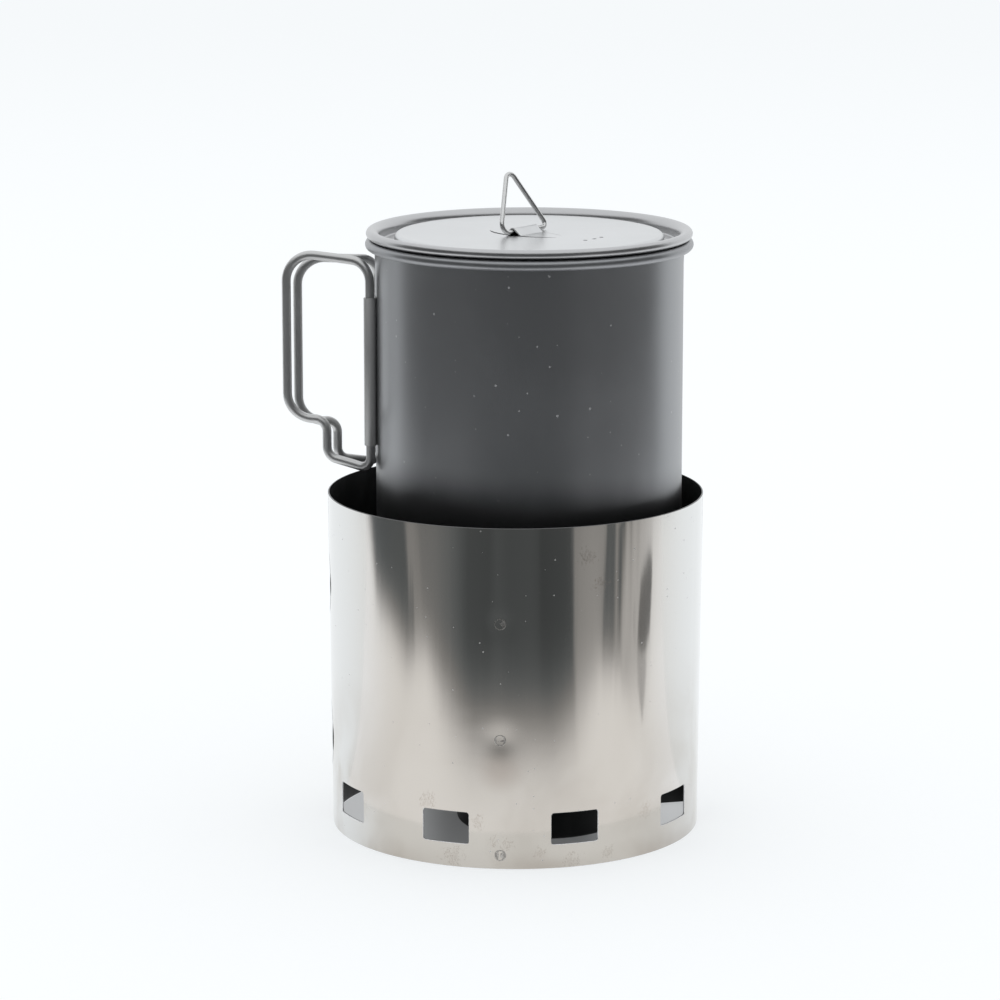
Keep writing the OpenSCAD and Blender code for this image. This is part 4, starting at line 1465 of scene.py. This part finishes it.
@dataclass
class Pot:
    """Drawn pot with its rolled rim, hinge plate and two wire handles."""

    centre: tuple = POT_CENTRE
    radius: float = 47.5
    sheet: float = 0.4
    seat: float = 77.0
    rim_level: float = 183.0
    corner: float = 5.0
    roll: float = 1.6
    base_rings: tuple = (14.0, 28.0)
    stand_off: float = 0.05
    barrel_azimuths: tuple = (-8.1, 17.2)
    barrel_foot: float = 121.0
    barrel_height: float = 46.0
    barrel_turn: float = 318.0
    plate: float = 0.45
    wire_radius: float = 1.4
    bore_radius: float = 1.45
    weld_radius: float = 1.55
    mark_aside: float = 4.2
    mark_margin: float = 7.0
    wrap_radius: float = 50.0
    toe_in: tuple = (31.1, 41.0)
    drops: tuple = (0.0, 1.6)
    pin: float = 13.0
    loop: tuple = (
        (0.0, 56.7, 6.5), (27.28, 59.0, 8.0), (27.28, 7.1, 8.0),
        (14.9, 7.1, 3.9), (14.9, -4.7, 3.9), (0.0, -7.7, 3.2),
    )
    wire_step: float = 2.5

    @property
    def hinge_radius(self) -> float:
        """Distance of the barrels' axes from the pot's axis."""
        return self.radius + self.stand_off + self.bore_radius + self.plate

    def hinge(self, azimuth: float) -> np.ndarray:
        """Place of a barrel in plan."""
        return self.on_left(azimuth, self.hinge_radius)

    def on_left(self, azimuth: float, radius: float) -> np.ndarray:
        """Place in plan at an azimuth from -X, seen from the pot's axis."""
        turn = math.radians(azimuth)
        return np.array([self.centre[0] - radius * math.cos(turn), radius * math.sin(turn)])

    def body(self) -> None:
        """Builds the drawn body."""
        r, t, c, z = self.radius, self.sheet, self.corner, self.seat
        top, roll = self.rim_level, self.roll
        middle = (r - t / 2 + roll, top)
        outside = [(0.0, z)] + [(x, z) for x in self.base_rings] + arc((r - c, z + c), c, -90.0, 90.0, 12)
        outside += divide((r, z + c), (r, top - 1.7), 24)
        rim = rolled_edge(middle, roll, t, 182.0, 6.0, (40, 22))[::-1]
        inside = divide((r - t, top - 0.4), (r - t, z + c), 24) + arc((r - c, z + c), c - t, 0.0, -90.0, 10)
        inside += [(x, z + t) for x in reversed(self.base_rings)] + [(0.0, z + t)]
        points, faces = spin(outside + rim + inside, self.centre, 288)
        piece = new_object("pot_wall", points, faces, [POT_SHEET])
        tidy(piece)
        settle(piece, Body.POT, Slot.POT, "pot_body")

    def sheet_line(self) -> np.ndarray:
        """Centre line in plan of the hinge plate and its two curled barrels.

        Returns:
            Points in plan.
        """
        mean = self.bore_radius + self.plate / 2
        low, high = self.barrel_azimuths
        flat_radius = self.radius + self.stand_off + self.plate / 2

        def barrel(azimuth: float, first: float, last: float) -> list[np.ndarray]:
            """Curl of a barrel, with its angles counted from where it faces the pot's axis."""
            middle = self.hinge(azimuth)
            inward = math.degrees(math.atan2(-middle[1], self.centre[0] - middle[0]))
            return [np.array(p) for p in arc(middle, mean, inward + first, last - first, 25)]

        front, rear = barrel(low, -self.barrel_turn, 0.0), barrel(high, 0.0, self.barrel_turn)
        flat = [self.on_left(low + (high - low) * k / 14, flat_radius) for k in range(1, 14)]
        return np.array(front + flat + rear)

    def hinge_plate(self) -> None:
        """Builds the hinge plate from one strip whose edges are curled into barrels."""
        line = self.sheet_line()
        side = sideways(line) * self.plate / 2
        low, high = self.barrel_foot, self.barrel_foot + self.barrel_height
        edges = ((low, 0.7), (low + 0.1, 1.0), (high - 0.1, 1.0), (high, 0.7))
        rows = []
        for face, order in ((1.0, edges), (-1.0, edges[::-1])):
            for z, share in order:
                rows.append(np.column_stack([line + side * share * face, np.full(len(line), z)]))
        points, faces = loft(rows)
        piece = new_object("handle_hinge_plate", points, faces, [HINGE_SHEET])
        tidy(piece)
        settle(piece, Body.POT, Slot.WIRE, "handle_plate")

    def plate_marks(self, welds: WeldSpots) -> None:
        """Sets the weld marks on the hinge plate.

        Args:
            welds: Maker of the marks.
        """
        low, high = self.barrel_azimuths
        out = self.radius + self.stand_off + self.plate - 0.02
        spots = []
        for side in (-1, 1):
            azimuth = math.radians((low + high) / 2 + side * math.degrees(self.mark_aside / self.radius))
            way = (-math.cos(azimuth), math.sin(azimuth), 0.0)
            for k in range(3):
                z = self.barrel_foot + self.mark_margin + (self.barrel_height - 2 * self.mark_margin) * k / 2
                spots.append(((self.centre[0] + way[0] * out, way[1] * out, z), way))
        welds.scatter("plate_weld_marks", spots, self.weld_radius, PLATE_WELD, Body.POT, "plate_welds")

    def handle_path(self, side: Side) -> np.ndarray:
        """Centre line of a wire handle.

        Args:
            side: Which handle.

        Returns:
            Points in space, from inside the barrel's top end to inside its lower end.
        """
        drop = self.drops[side.value]
        foot, top = self.barrel_foot, self.barrel_foot + self.barrel_height
        corners = [(reach, foot + rise - drop, bend) for reach, rise, bend in self.loop]
        bare = round_corners([(0.0, top - self.pin, 0.0)] + corners + [(0.0, foot + self.pin, 0.0)], 14)
        line = [tuple(bare[0])]
        for here, after in zip(bare, bare[1:]):
            line += pace(here, after, self.wire_step) + [tuple(after)]
        turn = 1.0 if side is Side.FRONT else -1.0
        first = math.radians(180.0 - turn * self.toe_in[side.value])
        origin = self.hinge(self.barrel_azimuths[side.value])
        path = []
        for reach, height in line:
            last = first + turn * reach / self.wrap_radius
            bend = np.array([math.sin(last) - math.sin(first), math.cos(first) - math.cos(last)])
            path.append((*(origin + turn * self.wrap_radius * bend), height))
        return np.array(path)

    def handles(self) -> None:
        """Builds the two wire handles."""
        for side, name, body in ((Side.FRONT, "handle_front", Body.FRONT_HANDLE),
                                 (Side.REAR, "handle_rear", Body.REAR_HANDLE)):
            wire = sweep_wire(name + "_wire", self.handle_path(side), self.wire_radius, 28, BRIGHT_WIRE)
            settle(wire, body, Slot.WIRE, name)

    def build(self, welds: WeldSpots) -> None:
        """Builds the whole pot.

        Args:
            welds: Maker of the weld marks.
        """
        self.body()
        self.hinge_plate()
        self.plate_marks(welds)
        self.handles()


# ------------------------------------------------------------------ lid


@dataclass
class Lid:
    """Pressed lid with its channel, lanced strap, steam holes and wire ring."""

    centre: tuple = POT_CENTRE
    roll: float = 1.4
    roll_radius: float = 48.8
    roll_level: float = 186.3
    sheet: float = 0.4
    skirt: float = 46.6
    plateau: float = 41.5
    shoulder: float = 1.5
    channel: float = 3.2
    bend: float = 0.6
    strap_centre: tuple = (2.5, -2.1)
    strap_length: float = 25.6
    strap_width: float = 11.2
    strap_end: float = 3.0
    strap_slope: float = 41.0
    slits: tuple = (1.5, 0.22)
    strap_shift: float = -0.9
    ring_direction: float = 52.0
    ring_lean: float = 19.4
    ring_wire: float = 0.75
    ring_gap: float = 0.2
    ring_base: float = 23.4
    ring_shift: float = 0.3
    ring_reach: float = 20.2
    ring_opening: float = 0.3
    ring_bends: tuple = (1.5, 2.35, 2.4)
    vent_radius: float = 0.7
    vent_ring: float = 24.6
    vent_azimuths: tuple = (43.5, 53.2, 62.9)
    vent_clear: float = 0.5
    disc_step: float = 1.4
    border_clear: float = 0.8
    slit_clear: float = 0.6
    end_clear: float = 1.5
    sliver: float = 0.005
    stations: tuple = (
        0.0, 0.2, 0.4, 0.6, 0.8, 0.95, 1.5, 2.1, 2.7, 3.0, 3.2, 3.4, 4.0, 5.2, 6.6, 8.0, 9.4, 10.8,
    )

    @property
    def top(self) -> float:
        """Height of the raised middle."""
        return self.roll_level + 0.05

    @property
    def border(self) -> float:
        """Radius of the flat part of the raised middle."""
        return self.plateau - self.shoulder

    @property
    def vents(self) -> list[np.ndarray]:
        """Centres of the steam holes in plan."""
        return [np.array(self.centre) + self.vent_ring * outward(a)[:2] for a in self.vent_azimuths]

    @property
    def ring_level(self) -> float:
        """Height of the ring's base wire."""
        return self.top + self.ring_wire + 0.1

    @property
    def side_radius(self) -> float:
        """Radius of the strap's bowed sides."""
        bow = (self.strap_width - self.strap_end) / 2
        return ((self.strap_length / 2) ** 2 + bow ** 2) / (2 * bow)

    @property
    def side_shift(self) -> float:
        """Distance of a bowed side's centre past the strap's middle."""
        return self.side_radius - self.strap_width / 2

    @property
    def rows(self) -> set[float]:
        """Distances from the ring's base at which points are set, to both sides."""
        return {-b for b in self.stations} | set(self.stations)

    @property
    def axes(self) -> np.ndarray:
        """Level directions along and across the ring's base, as rows."""
        across = -outward(self.ring_direction)
        return np.array([np.cross(across, UP), across])

    def local(self, flat: np.ndarray) -> np.ndarray:
        """Turns plan places into places along and across the ring's base."""
        return (flat - np.array(self.strap_centre)) @ self.axes[:, :2].T

    def world(self, places: Sequence[tuple]) -> list[tuple]:
        """Turns places along and across the ring's base into plan places."""
        return [tuple(p) for p in np.array(self.strap_centre) + np.array(places) @ self.axes[:, :2]]

    def from_side(self, spot: np.ndarray) -> np.ndarray:
        """Distance of local places from the centre of the farther bowed side."""
        return np.hypot(np.abs(spot[:, 0]) + self.side_shift, spot[:, 1] - self.strap_shift)

    def slit_width(self, b: float, side: int) -> float:
        """Width of a slit, which tapers towards its ends.

        Args:
            b: Distance from the ring's base.
            side: 1 or -1.

        Returns:
            The width.
        """
        share = (b - self.strap_shift) / (self.strap_length / 2)
        return self.slits[(side + 1) // 2] * math.sqrt(max(1.0 - share * share, 0.01))

    def hump(self, across: np.ndarray, under: float) -> np.ndarray:
        """Height of the strap over the raised middle.

        Args:
            across: Distances from the ring's base.
            under: Depth under the strap's upper face, square to it.

        Returns:
            Heights.
        """
        middle, slope = self.ring_level - self.top, math.radians(self.strap_slope)
        radius = self.ring_wire + self.ring_gap + self.sheet - under
        b = np.abs(across)
        crest = middle + np.sqrt(np.maximum(radius ** 2 - b ** 2, 0.0))
        flank = middle + radius * math.cos(slope) - (b - radius * math.sin(slope)) * math.tan(slope)
        rise = np.where(b < radius * math.sin(slope), crest, flank) + under
        return (rise + np.sqrt(rise ** 2 + 0.02)) / 2 - under

    def lift(self, flat: np.ndarray, under: float) -> np.ndarray:
        """Height of the sheet's upper or lower face over the raised middle's level.

        Args:
            flat: Plan places.
            under: Depth under the upper face.

        Returns:
            Heights.
        """
        spot = self.local(flat)
        along = np.abs(spot[:, 1] - self.strap_shift)
        inside = (self.from_side(spot) < self.side_radius + 0.02) & (along < self.strap_length / 2)
        return np.where(inside, self.hump(spot[:, 1], under), -under)

    def slit_outline(self, side: int) -> list[tuple]:
        """Plan outline of the slit along one bowed side of the strap.

        Args:
            side: 1 or -1.

        Returns:
            The closed outline.
        """
        low, high = self.strap_shift - self.strap_length / 2, self.strap_shift + self.strap_length / 2
        rows = sorted(self.rows | {low, (low - max(self.stations)) / 2, high})

        def place(b: float, wide: float) -> tuple[float, float]:
            """Point of a bowed line at a distance from the ring's base."""
            return (side * (math.sqrt(wide ** 2 - (b - self.strap_shift) ** 2) - self.side_shift), b)

        inner = [place(b, self.side_radius) for b in rows]
        outer = [place(b, self.side_radius + self.slit_width(b, side)) for b in reversed(rows)]
        return self.world((inner + outer)[::-side])

    def strap_points(self) -> list[tuple]:
        """Points inside the strap, in rows that follow its hump."""
        places = []
        for b in sorted(self.rows):
            half = math.sqrt(self.side_radius ** 2 - (b - self.strap_shift) ** 2) - self.side_shift
            count = max(2, round(half / 0.7))
            places += [(half * k / count, b) for k in range(1 - count, count)]
        return self.world(places)

    def keep(self, places: np.ndarray) -> np.ndarray:
        """Says which places lie in the sheet of the raised middle.

        Args:
            places: Plan places.

        Returns:
            False for those in a slit, in a steam hole or past the border.
        """
        inside = np.linalg.norm(places - np.array(self.centre), axis=1) < self.border
        spot = self.local(places)
        span, radius = self.from_side(spot), self.side_radius
        wide = np.array([self.slit_width(b, 1 if a > 0 else -1) for a, b in spot])
        gap = (span > radius - self.sliver) & (span < radius + wide + self.sliver)
        inside &= ~(gap & (np.abs(spot[:, 1] - self.strap_shift) < self.strap_length / 2))
        for place in self.vents:
            inside &= np.linalg.norm(places - place, axis=1) > self.vent_radius * 0.98
        return inside

    def disc_points(self) -> list[list[float]]:
        """Points in the flat part of the raised middle, clear of its borders.

        Returns:
            Plan places on a square grid.
        """
        step = self.disc_step
        count = int(self.border / step) + 1
        grid = np.array([(self.centre[0] + i * step, self.centre[1] + j * step)
                         for i in range(-count, count + 1) for j in range(-count, count + 1)])
        spot = self.local(grid)
        near = self.from_side(spot) < self.side_radius + max(self.slits) + self.slit_clear
        near &= np.abs(spot[:, 1]) < self.strap_length / 2 + self.end_clear
        clear = self.keep(grid) & ~near
        clear &= np.linalg.norm(grid - np.array(self.centre), axis=1) < self.border - self.border_clear
        for place in self.vents:
            clear &= np.linalg.norm(grid - place, axis=1) > self.vent_radius + self.vent_clear
        return grid[clear].tolist()

    def disc(self) -> tuple[np.ndarray, list[tuple], int]:
        """Raised middle with its strap and steam holes, both skins.

        Returns:
            Vertices, faces, and the number of faces before the cut edges.
        """
        outline = arc(self.centre, self.border, 0.0, 360.0, 288)[:-1]
        loops = [outline] + [self.slit_outline(side) for side in (-1, 1)]
        loops += [arc(place, self.vent_radius, 0.0, 360.0, 20)[:-1] for place in self.vents]
        flat, triangles = fill_sheet(loops, self.disc_points() + self.strap_points(), self.keep)
        upper = np.column_stack([flat, self.top + self.lift(flat, 0.0)])
        lower = np.column_stack([flat, self.top + self.lift(flat, self.sheet)])
        shift = len(flat)
        faces = [tuple(f) for f in triangles]
        faces += [tuple(int(k) + shift for k in reversed(f)) for f in triangles]
        start = len(outline)
        for loop in loops[1:]:
            size = len(loop)
            for k in range(size):
                here, after = start + k, start + (k + 1) % size
                faces.append((here, after, after + shift, here + shift))
            start += size
        return np.vstack([upper, lower]), faces, 2 * len(triangles)

    def rim(self) -> tuple[np.ndarray, list[tuple]]:
        """Shoulder, channel, skirt and rolled edge.

        Returns:
            Vertices and faces.
        """
        t, b, top, s = self.sheet, self.bend, self.top, self.shoulder
        floor = top - self.channel
        p, k, r = self.plateau, self.skirt, self.roll_radius
        wide = r - k + t
        shoulder = self.roll_level + self.roll - wide
        upper = arc((p - s, top - s), s, 90.0, -90.0, 10)
        upper += arc((p + b, floor + b), b, 180.0, 90.0, 6)
        upper += divide((p + b, floor), (k - t - b, floor), 3)
        upper += arc((k - t - b, floor + b), b, -90.0, 90.0, 6)
        upper += arc((r, shoulder), wide, 180.0, -90.0, 14)
        edge = rolled_edge((r, self.roll_level), self.roll, t, 90.0, 4.0, (34, 22))[1:]
        lower = arc((r, shoulder), wide - t, 90.0, 90.0, 12)[1:]
        lower += arc((k - t - b, floor + b), b + t, 0.0, -90.0, 8)
        lower += divide((k - t - b, floor - t), (p + b, floor - t), 3)
        lower += arc((p + b, floor + b), b + t, -90.0, -90.0, 6)
        lower += arc((p - s, top - s), s - t, 0.0, 90.0, 8)
        profile = upper + edge + lower
        return spin(profile[::-1], self.centre, 288, closed=False)

    def ring_path(self) -> np.ndarray:
        """Centre line of the wire triangle.

        Returns:
            Points in space.
        """
        half, shift, gap = self.ring_base / 2, self.ring_shift, self.ring_opening
        first, tip, last = self.ring_bends
        line = round_corners([(gap, 0.0, 0.0), (shift + half, 0.0, first), (shift, self.ring_reach, tip),
                              (shift - half, 0.0, last), (-gap, 0.0, 0.0)], 14)
        lean = math.radians(self.ring_lean)
        along, across = self.axes
        rise = across * math.sin(lean) + UP * math.cos(lean)
        base = np.array([*self.strap_centre, self.ring_level])
        return np.array([base + a * along + b * rise for a, b in line])

    def build(self) -> None:
        """Builds the lid and its ring."""
        points, disc_faces, flat_faces = self.disc()
        rim_points, rim_faces = self.rim()
        shift = len(points)
        faces = disc_faces + [tuple(k + shift for k in f) for f in rim_faces]
        # The slit edges take the second slot, whose light grey is a painted highlight.
        slots = [0] * flat_faces + [1] * (len(disc_faces) - flat_faces) + [0] * len(rim_faces)
        points = np.vstack([points, rim_points])
        piece = new_object("lid_sheet", points, faces, [LID_SHEET, LID_EDGE_HIGHLIGHT], slots)
        tidy(piece)
        settle(piece, Body.LID, Slot.LID, "lid")
        ring = sweep_wire("lid_ring_wire", self.ring_path(), self.ring_wire - 0.01, 24, RING_WIRE)
        settle(ring, Body.RING, Slot.WIRE, "lid_ring")


# ------------------------------------------------------------------ studio


@dataclass(frozen=True)
class Card:
    """Grey card that only shows in reflections."""

    name: str
    corners: tuple
    level: float
    tint: tuple = rgb(0.975, 0.99, 1.01)

    def glow(self, graph: Graph) -> object:
        """Brightness of the card, the same all over."""
        return self.level

    def hue(self, graph: Graph, level: object) -> object:
        """Tint of the card, the same all over."""
        return self.tint

    def build(self) -> None:
        """Lays the card and hides it from everything but gloss."""
        card = link_mesh(self.name, self.corners, (), [tuple(range(len(self.corners)))])
        made = bpy.data.materials.new(self.name)
        graph = fresh_graph(made)
        level = self.glow(graph)
        glow = graph.add("ShaderNodeEmission", None, Color=self.hue(graph, level), Strength=level)
        graph.add("ShaderNodeOutputMaterial", None, Surface=glow.outputs[0])
        card.data.materials.append(made)
        card.visible_camera = False
        card.visible_diffuse = False
        card.visible_shadow = False
        card.visible_transmission = False
        card.visible_volume_scatter = False


@dataclass(frozen=True)
class ShadeSheet(Card):
    """Ring of card whose grey follows the azimuth and clears softly towards the stove."""

    levels: tuple = (
        (-98.0, 0.85), (-95.0, 0.5), (-92.0, 0.13), (-85.0, 0.115), (-72.0, 0.125), (-66.8, 0.12),
        (-65.0, 0.34), (-61.0, 0.31), (-58.6, 0.3), (-57.4, 0.24), (-48.0, 0.225), (-38.0, 0.17),
        (-31.5, 0.12), (-27.0, 0.088), (-15.0, 0.08), (-10.0, 0.1), (-4.0, 0.088), (8.0, 0.092),
        (12.0, 0.088), (15.0, 0.068), (24.0, 0.075), (32.4, 0.085), (34.0, 0.335), (42.0, 0.385),
        (48.0, 0.4), (53.4, 0.37), (55.2, 0.13), (59.0, 0.15), (65.0, 0.33), (72.0, 0.52),
        (84.0, 0.72), (95.0, 1.0),
    )
    reaches: tuple = (
        (-98.0, 500.0), (-93.0, 450.0), (-89.0, 385.0), (-85.0, 362.0), (-77.0, 342.0), (-70.0, 317.0),
        (-64.0, 292.0), (-57.0, 304.0), (-51.0, 308.0), (-45.0, 277.0), (-40.0, 250.0), (-35.0, 230.0),
        (-29.0, 210.0), (-22.0, 194.0), (20.0, 193.0), (26.0, 205.0), (31.0, 218.0), (36.0, 237.0),
        (42.0, 259.0), (48.0, 285.0), (54.0, 288.0), (60.0, 266.0), (66.0, 240.0), (78.0, 235.0),
        (86.0, 290.0), (95.0, 330.0),
    )
    clear: float = 1.07
    softness: float = 28.0
    side_softness: float = 19.0
    side_span: tuple = (34.0, 50.0)
    drift: float = 0.038
    drift_radius: float = 490.0
    drift_span: tuple = (38.0, 58.0)
    half_span: float = 100.0
    full_reach: float = 500.0
    cool: tuple = rgb(0.955, 1.07, 1.15)
    cool_span: tuple = (0.1, 0.3)

    def curve(self, graph: Graph, azimuth: object, stops: tuple) -> bpy.types.NodeSocket:
        """Value that follows the azimuth.

        Args:
            graph: The material's nodes.
            azimuth: Azimuth in degrees.
            stops: Azimuths and the values there, from 0 to 1.

        Returns:
            The value.
        """
        share = graph.math("MULTIPLY_ADD", azimuth, 0.5 / self.half_span, 0.5)
        node = graph.add("ShaderNodeValToRGB", None, Fac=share)
        ramp = node.color_ramp
        for _ in stops[2:]:
            ramp.elements.new(0.5)
        for element, (place, _) in zip(ramp.elements, stops):
            element.position = 0.5 + 0.5 * place / self.half_span
        for element, (_, value) in zip(ramp.elements, stops):
            element.color = (value, value, value, 1.0)
        return node.outputs[0]

    def glow(self, graph: Graph) -> object:
        """Brightness from azimuth and distance.

        Args:
            graph: The material's nodes.

        Returns:
            The brightness.
        """
        place = graph.add("ShaderNodeTexCoord").outputs["Object"]
        x, y, _ = graph.split(place)
        radius = graph.math("DIVIDE", graph.distance(place, (0.0, 0.0, 0.0)), MM)
        front = graph.math("MULTIPLY", y, -1.0)
        azimuth = graph.math("MULTIPLY", graph.math("ARCTAN2", x, front), math.degrees(1.0))
        slant = graph.math("ABSOLUTE", azimuth)
        drift = graph.math("MULTIPLY_ADD", radius, -self.drift, self.drift * self.drift_radius)
        drift = graph.math("MULTIPLY", drift, graph.ramp(slant, *self.drift_span))
        drift = graph.math("MULTIPLY", drift, graph.math("SIGN", azimuth))
        level = self.curve(graph, graph.math("ADD", azimuth, drift), self.levels)
        reach = self.curve(graph, azimuth, tuple((a, r / self.full_reach) for a, r in self.reaches))
        away = graph.math("SUBTRACT", radius, graph.math("MULTIPLY", reach, self.full_reach))
        aside = graph.ramp(slant, *self.side_span)
        soft = graph.math("MULTIPLY_ADD", aside, self.side_softness - self.softness, self.softness)
        away = graph.math("EXPONENT", graph.math("DIVIDE", away, soft))
        fade = graph.math("DIVIDE", 1.0, graph.math("ADD", away, 1.0))
        return graph.math("MULTIPLY_ADD", fade, graph.math("SUBTRACT", self.clear, level), level)

    def hue(self, graph: Graph, level: object) -> object:
        """Tint that is cooler where the sheet is dark."""
        return graph.mix(graph.ramp(level, *self.cool_span), self.cool, self.tint)


def wedge(first: float, last: float, near: float, far: float, height: float, steps: int = 8) -> tuple:
    """Corners of a level ring sector.

    Args:
        first: First azimuth.
        last: Last azimuth.
        near: Inner radius.
        far: Outer radius.
        height: Height over the floor.
        steps: Stretches of each arc.

    Returns:
        The corners.
    """
    ways = [outward(first + (last - first) * k / steps) for k in range(steps + 1)]
    ring = [far * way for way in ways] + [near * way for way in reversed(ways)]
    return tuple((x, y, height) for x, y, _ in ring)


@dataclass
class Studio:
    """White floor, even light, the reflected surroundings and the camera."""

    camera_place: tuple = (0.0, -1202.7, 351.0)
    pitch: float = 11.684
    yaw: float = 0.2292
    lens: float = 141.84
    sensor: float = 36.0
    clip: tuple = (0.05, 50.0)
    floor_half: float = 12000.0
    paper: tuple = rgb(0.93, 0.945, 0.95)
    glow: float = 0.5
    near_glow: float = 1.12
    far_glow: float = 0.98
    glow_span: tuple = (0.3, 3.2)
    # Painted shade on the floor inside the stove: its glow, low in the middle and high towards the sides, and
    # the distances across over which it rises.
    painted_inner_glow: tuple = (0.2, 0.95)
    painted_inner_span: tuple = (0.018, 0.05)
    sky: tuple = rgb(0.965, 0.985, 1.0)
    dark: float = 0.1
    wall_distance: float = 1750.0
    wall_height: float = 1350.0
    shade_start: float = 92.0
    shade_edge: float = 560.0
    shade_ends: tuple = (-98.0, 95.0)
    back_ends: tuple = (166.0, 194.0)
    back_reach: tuple = (300.0, 2400.0)
    inner_floor: float = 56.6
    ring_start: float = -108.0
    ring_step: float = 21.8
    ring_count: int = 10
    layers: tuple = (0.4, 0.6, 0.8)
    lens_levels: tuple = (0.2, 0.55)
    back_level: float = 0.25
    lens_shape: tuple = (
        (449, -51), (396, -87), (329, -95), (291, -91), (281, -61), (305, -43), (367, -30), (435, -18),
    )
    lens_tail: tuple = ((291, -91), (218, -66), (186, -54), (268, -49), (281, -61))

    def cards(self) -> list[Card]:
        """The reflected surroundings: a shaded sheet round the stove and a dark far ring.

        Returns:
            The cards.
        """
        far_height, shade_height, lens_height = self.layers
        shade = wedge(*self.shade_ends, self.shade_start, self.shade_edge, shade_height, 72)
        lens, tail = (tuple((x, y, lens_height) for x, y in shape)
                      for shape in (self.lens_shape, self.lens_tail))
        cards = [
            Card("card_lens", lens, self.lens_levels[0]),
            Card("card_lens_tail", tail, self.lens_levels[1]),
            Card("card_back", wedge(*self.back_ends, *self.back_reach, shade_height), self.back_level),
            ShadeSheet("card_shade", shade, 1.0),
        ]
        for k in range(self.ring_count):
            first = self.ring_start + self.ring_step * k
            last = self.ring_start + self.ring_step * (k + 1)
            ring = wedge(first, last, self.shade_edge - 10.0, self.wall_distance, far_height)
            cards.append(Card(f"card_far_{k}", ring, self.dark))
            low = [self.wall_distance * outward(a) for a in (first, last)]
            high = [point + self.wall_height * UP for point in reversed(low)]
            cards.append(Card(f"card_wall_{k}", tuple(low + high), self.dark))
        return cards

    def floor(self) -> None:
        """Lays the pale floor that keeps the object's shadow, and a disc of it in the stove whose glow is a
        painted shade, low in the middle.
        """
        half = self.floor_half
        square = [(-half, -half, 0.0), (half, -half, 0.0), (half, half, 0.0), (-half, half, 0.0)]
        disc = [(x, y, 0.2) for x, y in arc((0.0, 0.0), self.inner_floor, 0.0, 360.0, 96)[:-1]]
        for name, corners, outside in (("floor", square, True), ("floor_in_stove", disc, False)):
            plane = link_mesh(name, corners, (), [tuple(range(len(corners)))])
            plane.data.materials.append(self.paper_material(name, outside))

    def paper_material(self, name: str, outside: bool) -> bpy.types.Material:
        """Makes the white paper, half of whose brightness is its own.

        Args:
            name: Name of the material.
            outside: Whether it lies round the stove, where it renders white; inside the stove its glow is a
                painted shade.

        Returns:
            The material.
        """
        made = bpy.data.materials.new(name)
        graph = fresh_graph(made)
        paper = graph.add("ShaderNodeBsdfDiffuse", None, Color=self.paper)
        x, y, _ = graph.split(graph.add("ShaderNodeTexCoord").outputs["Object"])
        if outside:
            share, low, high = graph.ramp(y, *self.glow_span), self.near_glow, self.far_glow
        else:
            # Painted shade: inside the stove the glow is low in the middle and rises towards the sides.
            share, (low, high) = graph.ramp(graph.math("ABSOLUTE", x), *self.painted_inner_span), self.painted_inner_glow
        strength = graph.math("MULTIPLY_ADD", share, high - low, low)
        glow = graph.add("ShaderNodeEmission", None, Color=self.sky, Strength=strength)
        both = graph.add("ShaderNodeMixShader")
        graph.feed(both, 0, self.glow)
        graph.feed(both, 1, paper.outputs[0])
        graph.feed(both, 2, glow.outputs[0])
        graph.add("ShaderNodeOutputMaterial", None, Surface=both.outputs[0])
        return made

    def world(self) -> None:
        """Sets the even white surroundings."""
        world = bpy.data.worlds.new("studio")
        graph = fresh_graph(world)
        sky = graph.add("ShaderNodeBackground", None, Color=self.sky, Strength=1.0)
        graph.add("ShaderNodeOutputWorld", None, Surface=sky.outputs[0])
        bpy.context.scene.world = world

    def camera(self) -> None:
        """Sets up the camera at its viewing angle."""
        data = bpy.data.cameras.new("camera")
        data.sensor_width = self.sensor
        data.lens = self.lens
        data.clip_start, data.clip_end = self.clip
        camera = bpy.data.objects.new("camera", data)
        camera.location = [c * MM for c in self.camera_place]
        camera.rotation_euler = (math.radians(90.0 - self.pitch), 0.0, math.radians(self.yaw))
        bpy.context.scene.collection.objects.link(camera)
        bpy.context.scene.camera = camera

    def build(self) -> None:
        """Builds the studio."""
        self.floor()
        self.world()
        for card in self.cards():
            card.build()
        self.camera()
        bpy.context.scene.view_settings.view_transform = "Standard"


def main() -> None:
    """Builds the studio and every sub-assembly in order."""
    logging.basicConfig(level=logging.INFO, format="%(name)s: %(message)s")
    Studio().build()
    shell = OuterShell()
    shell.build()
    welds = WeldSpots(shell)
    welds.build()
    FireBox(shell).build()
    Pot().build(welds)
    Lid().build()


if __name__ == "__main__":
    main()
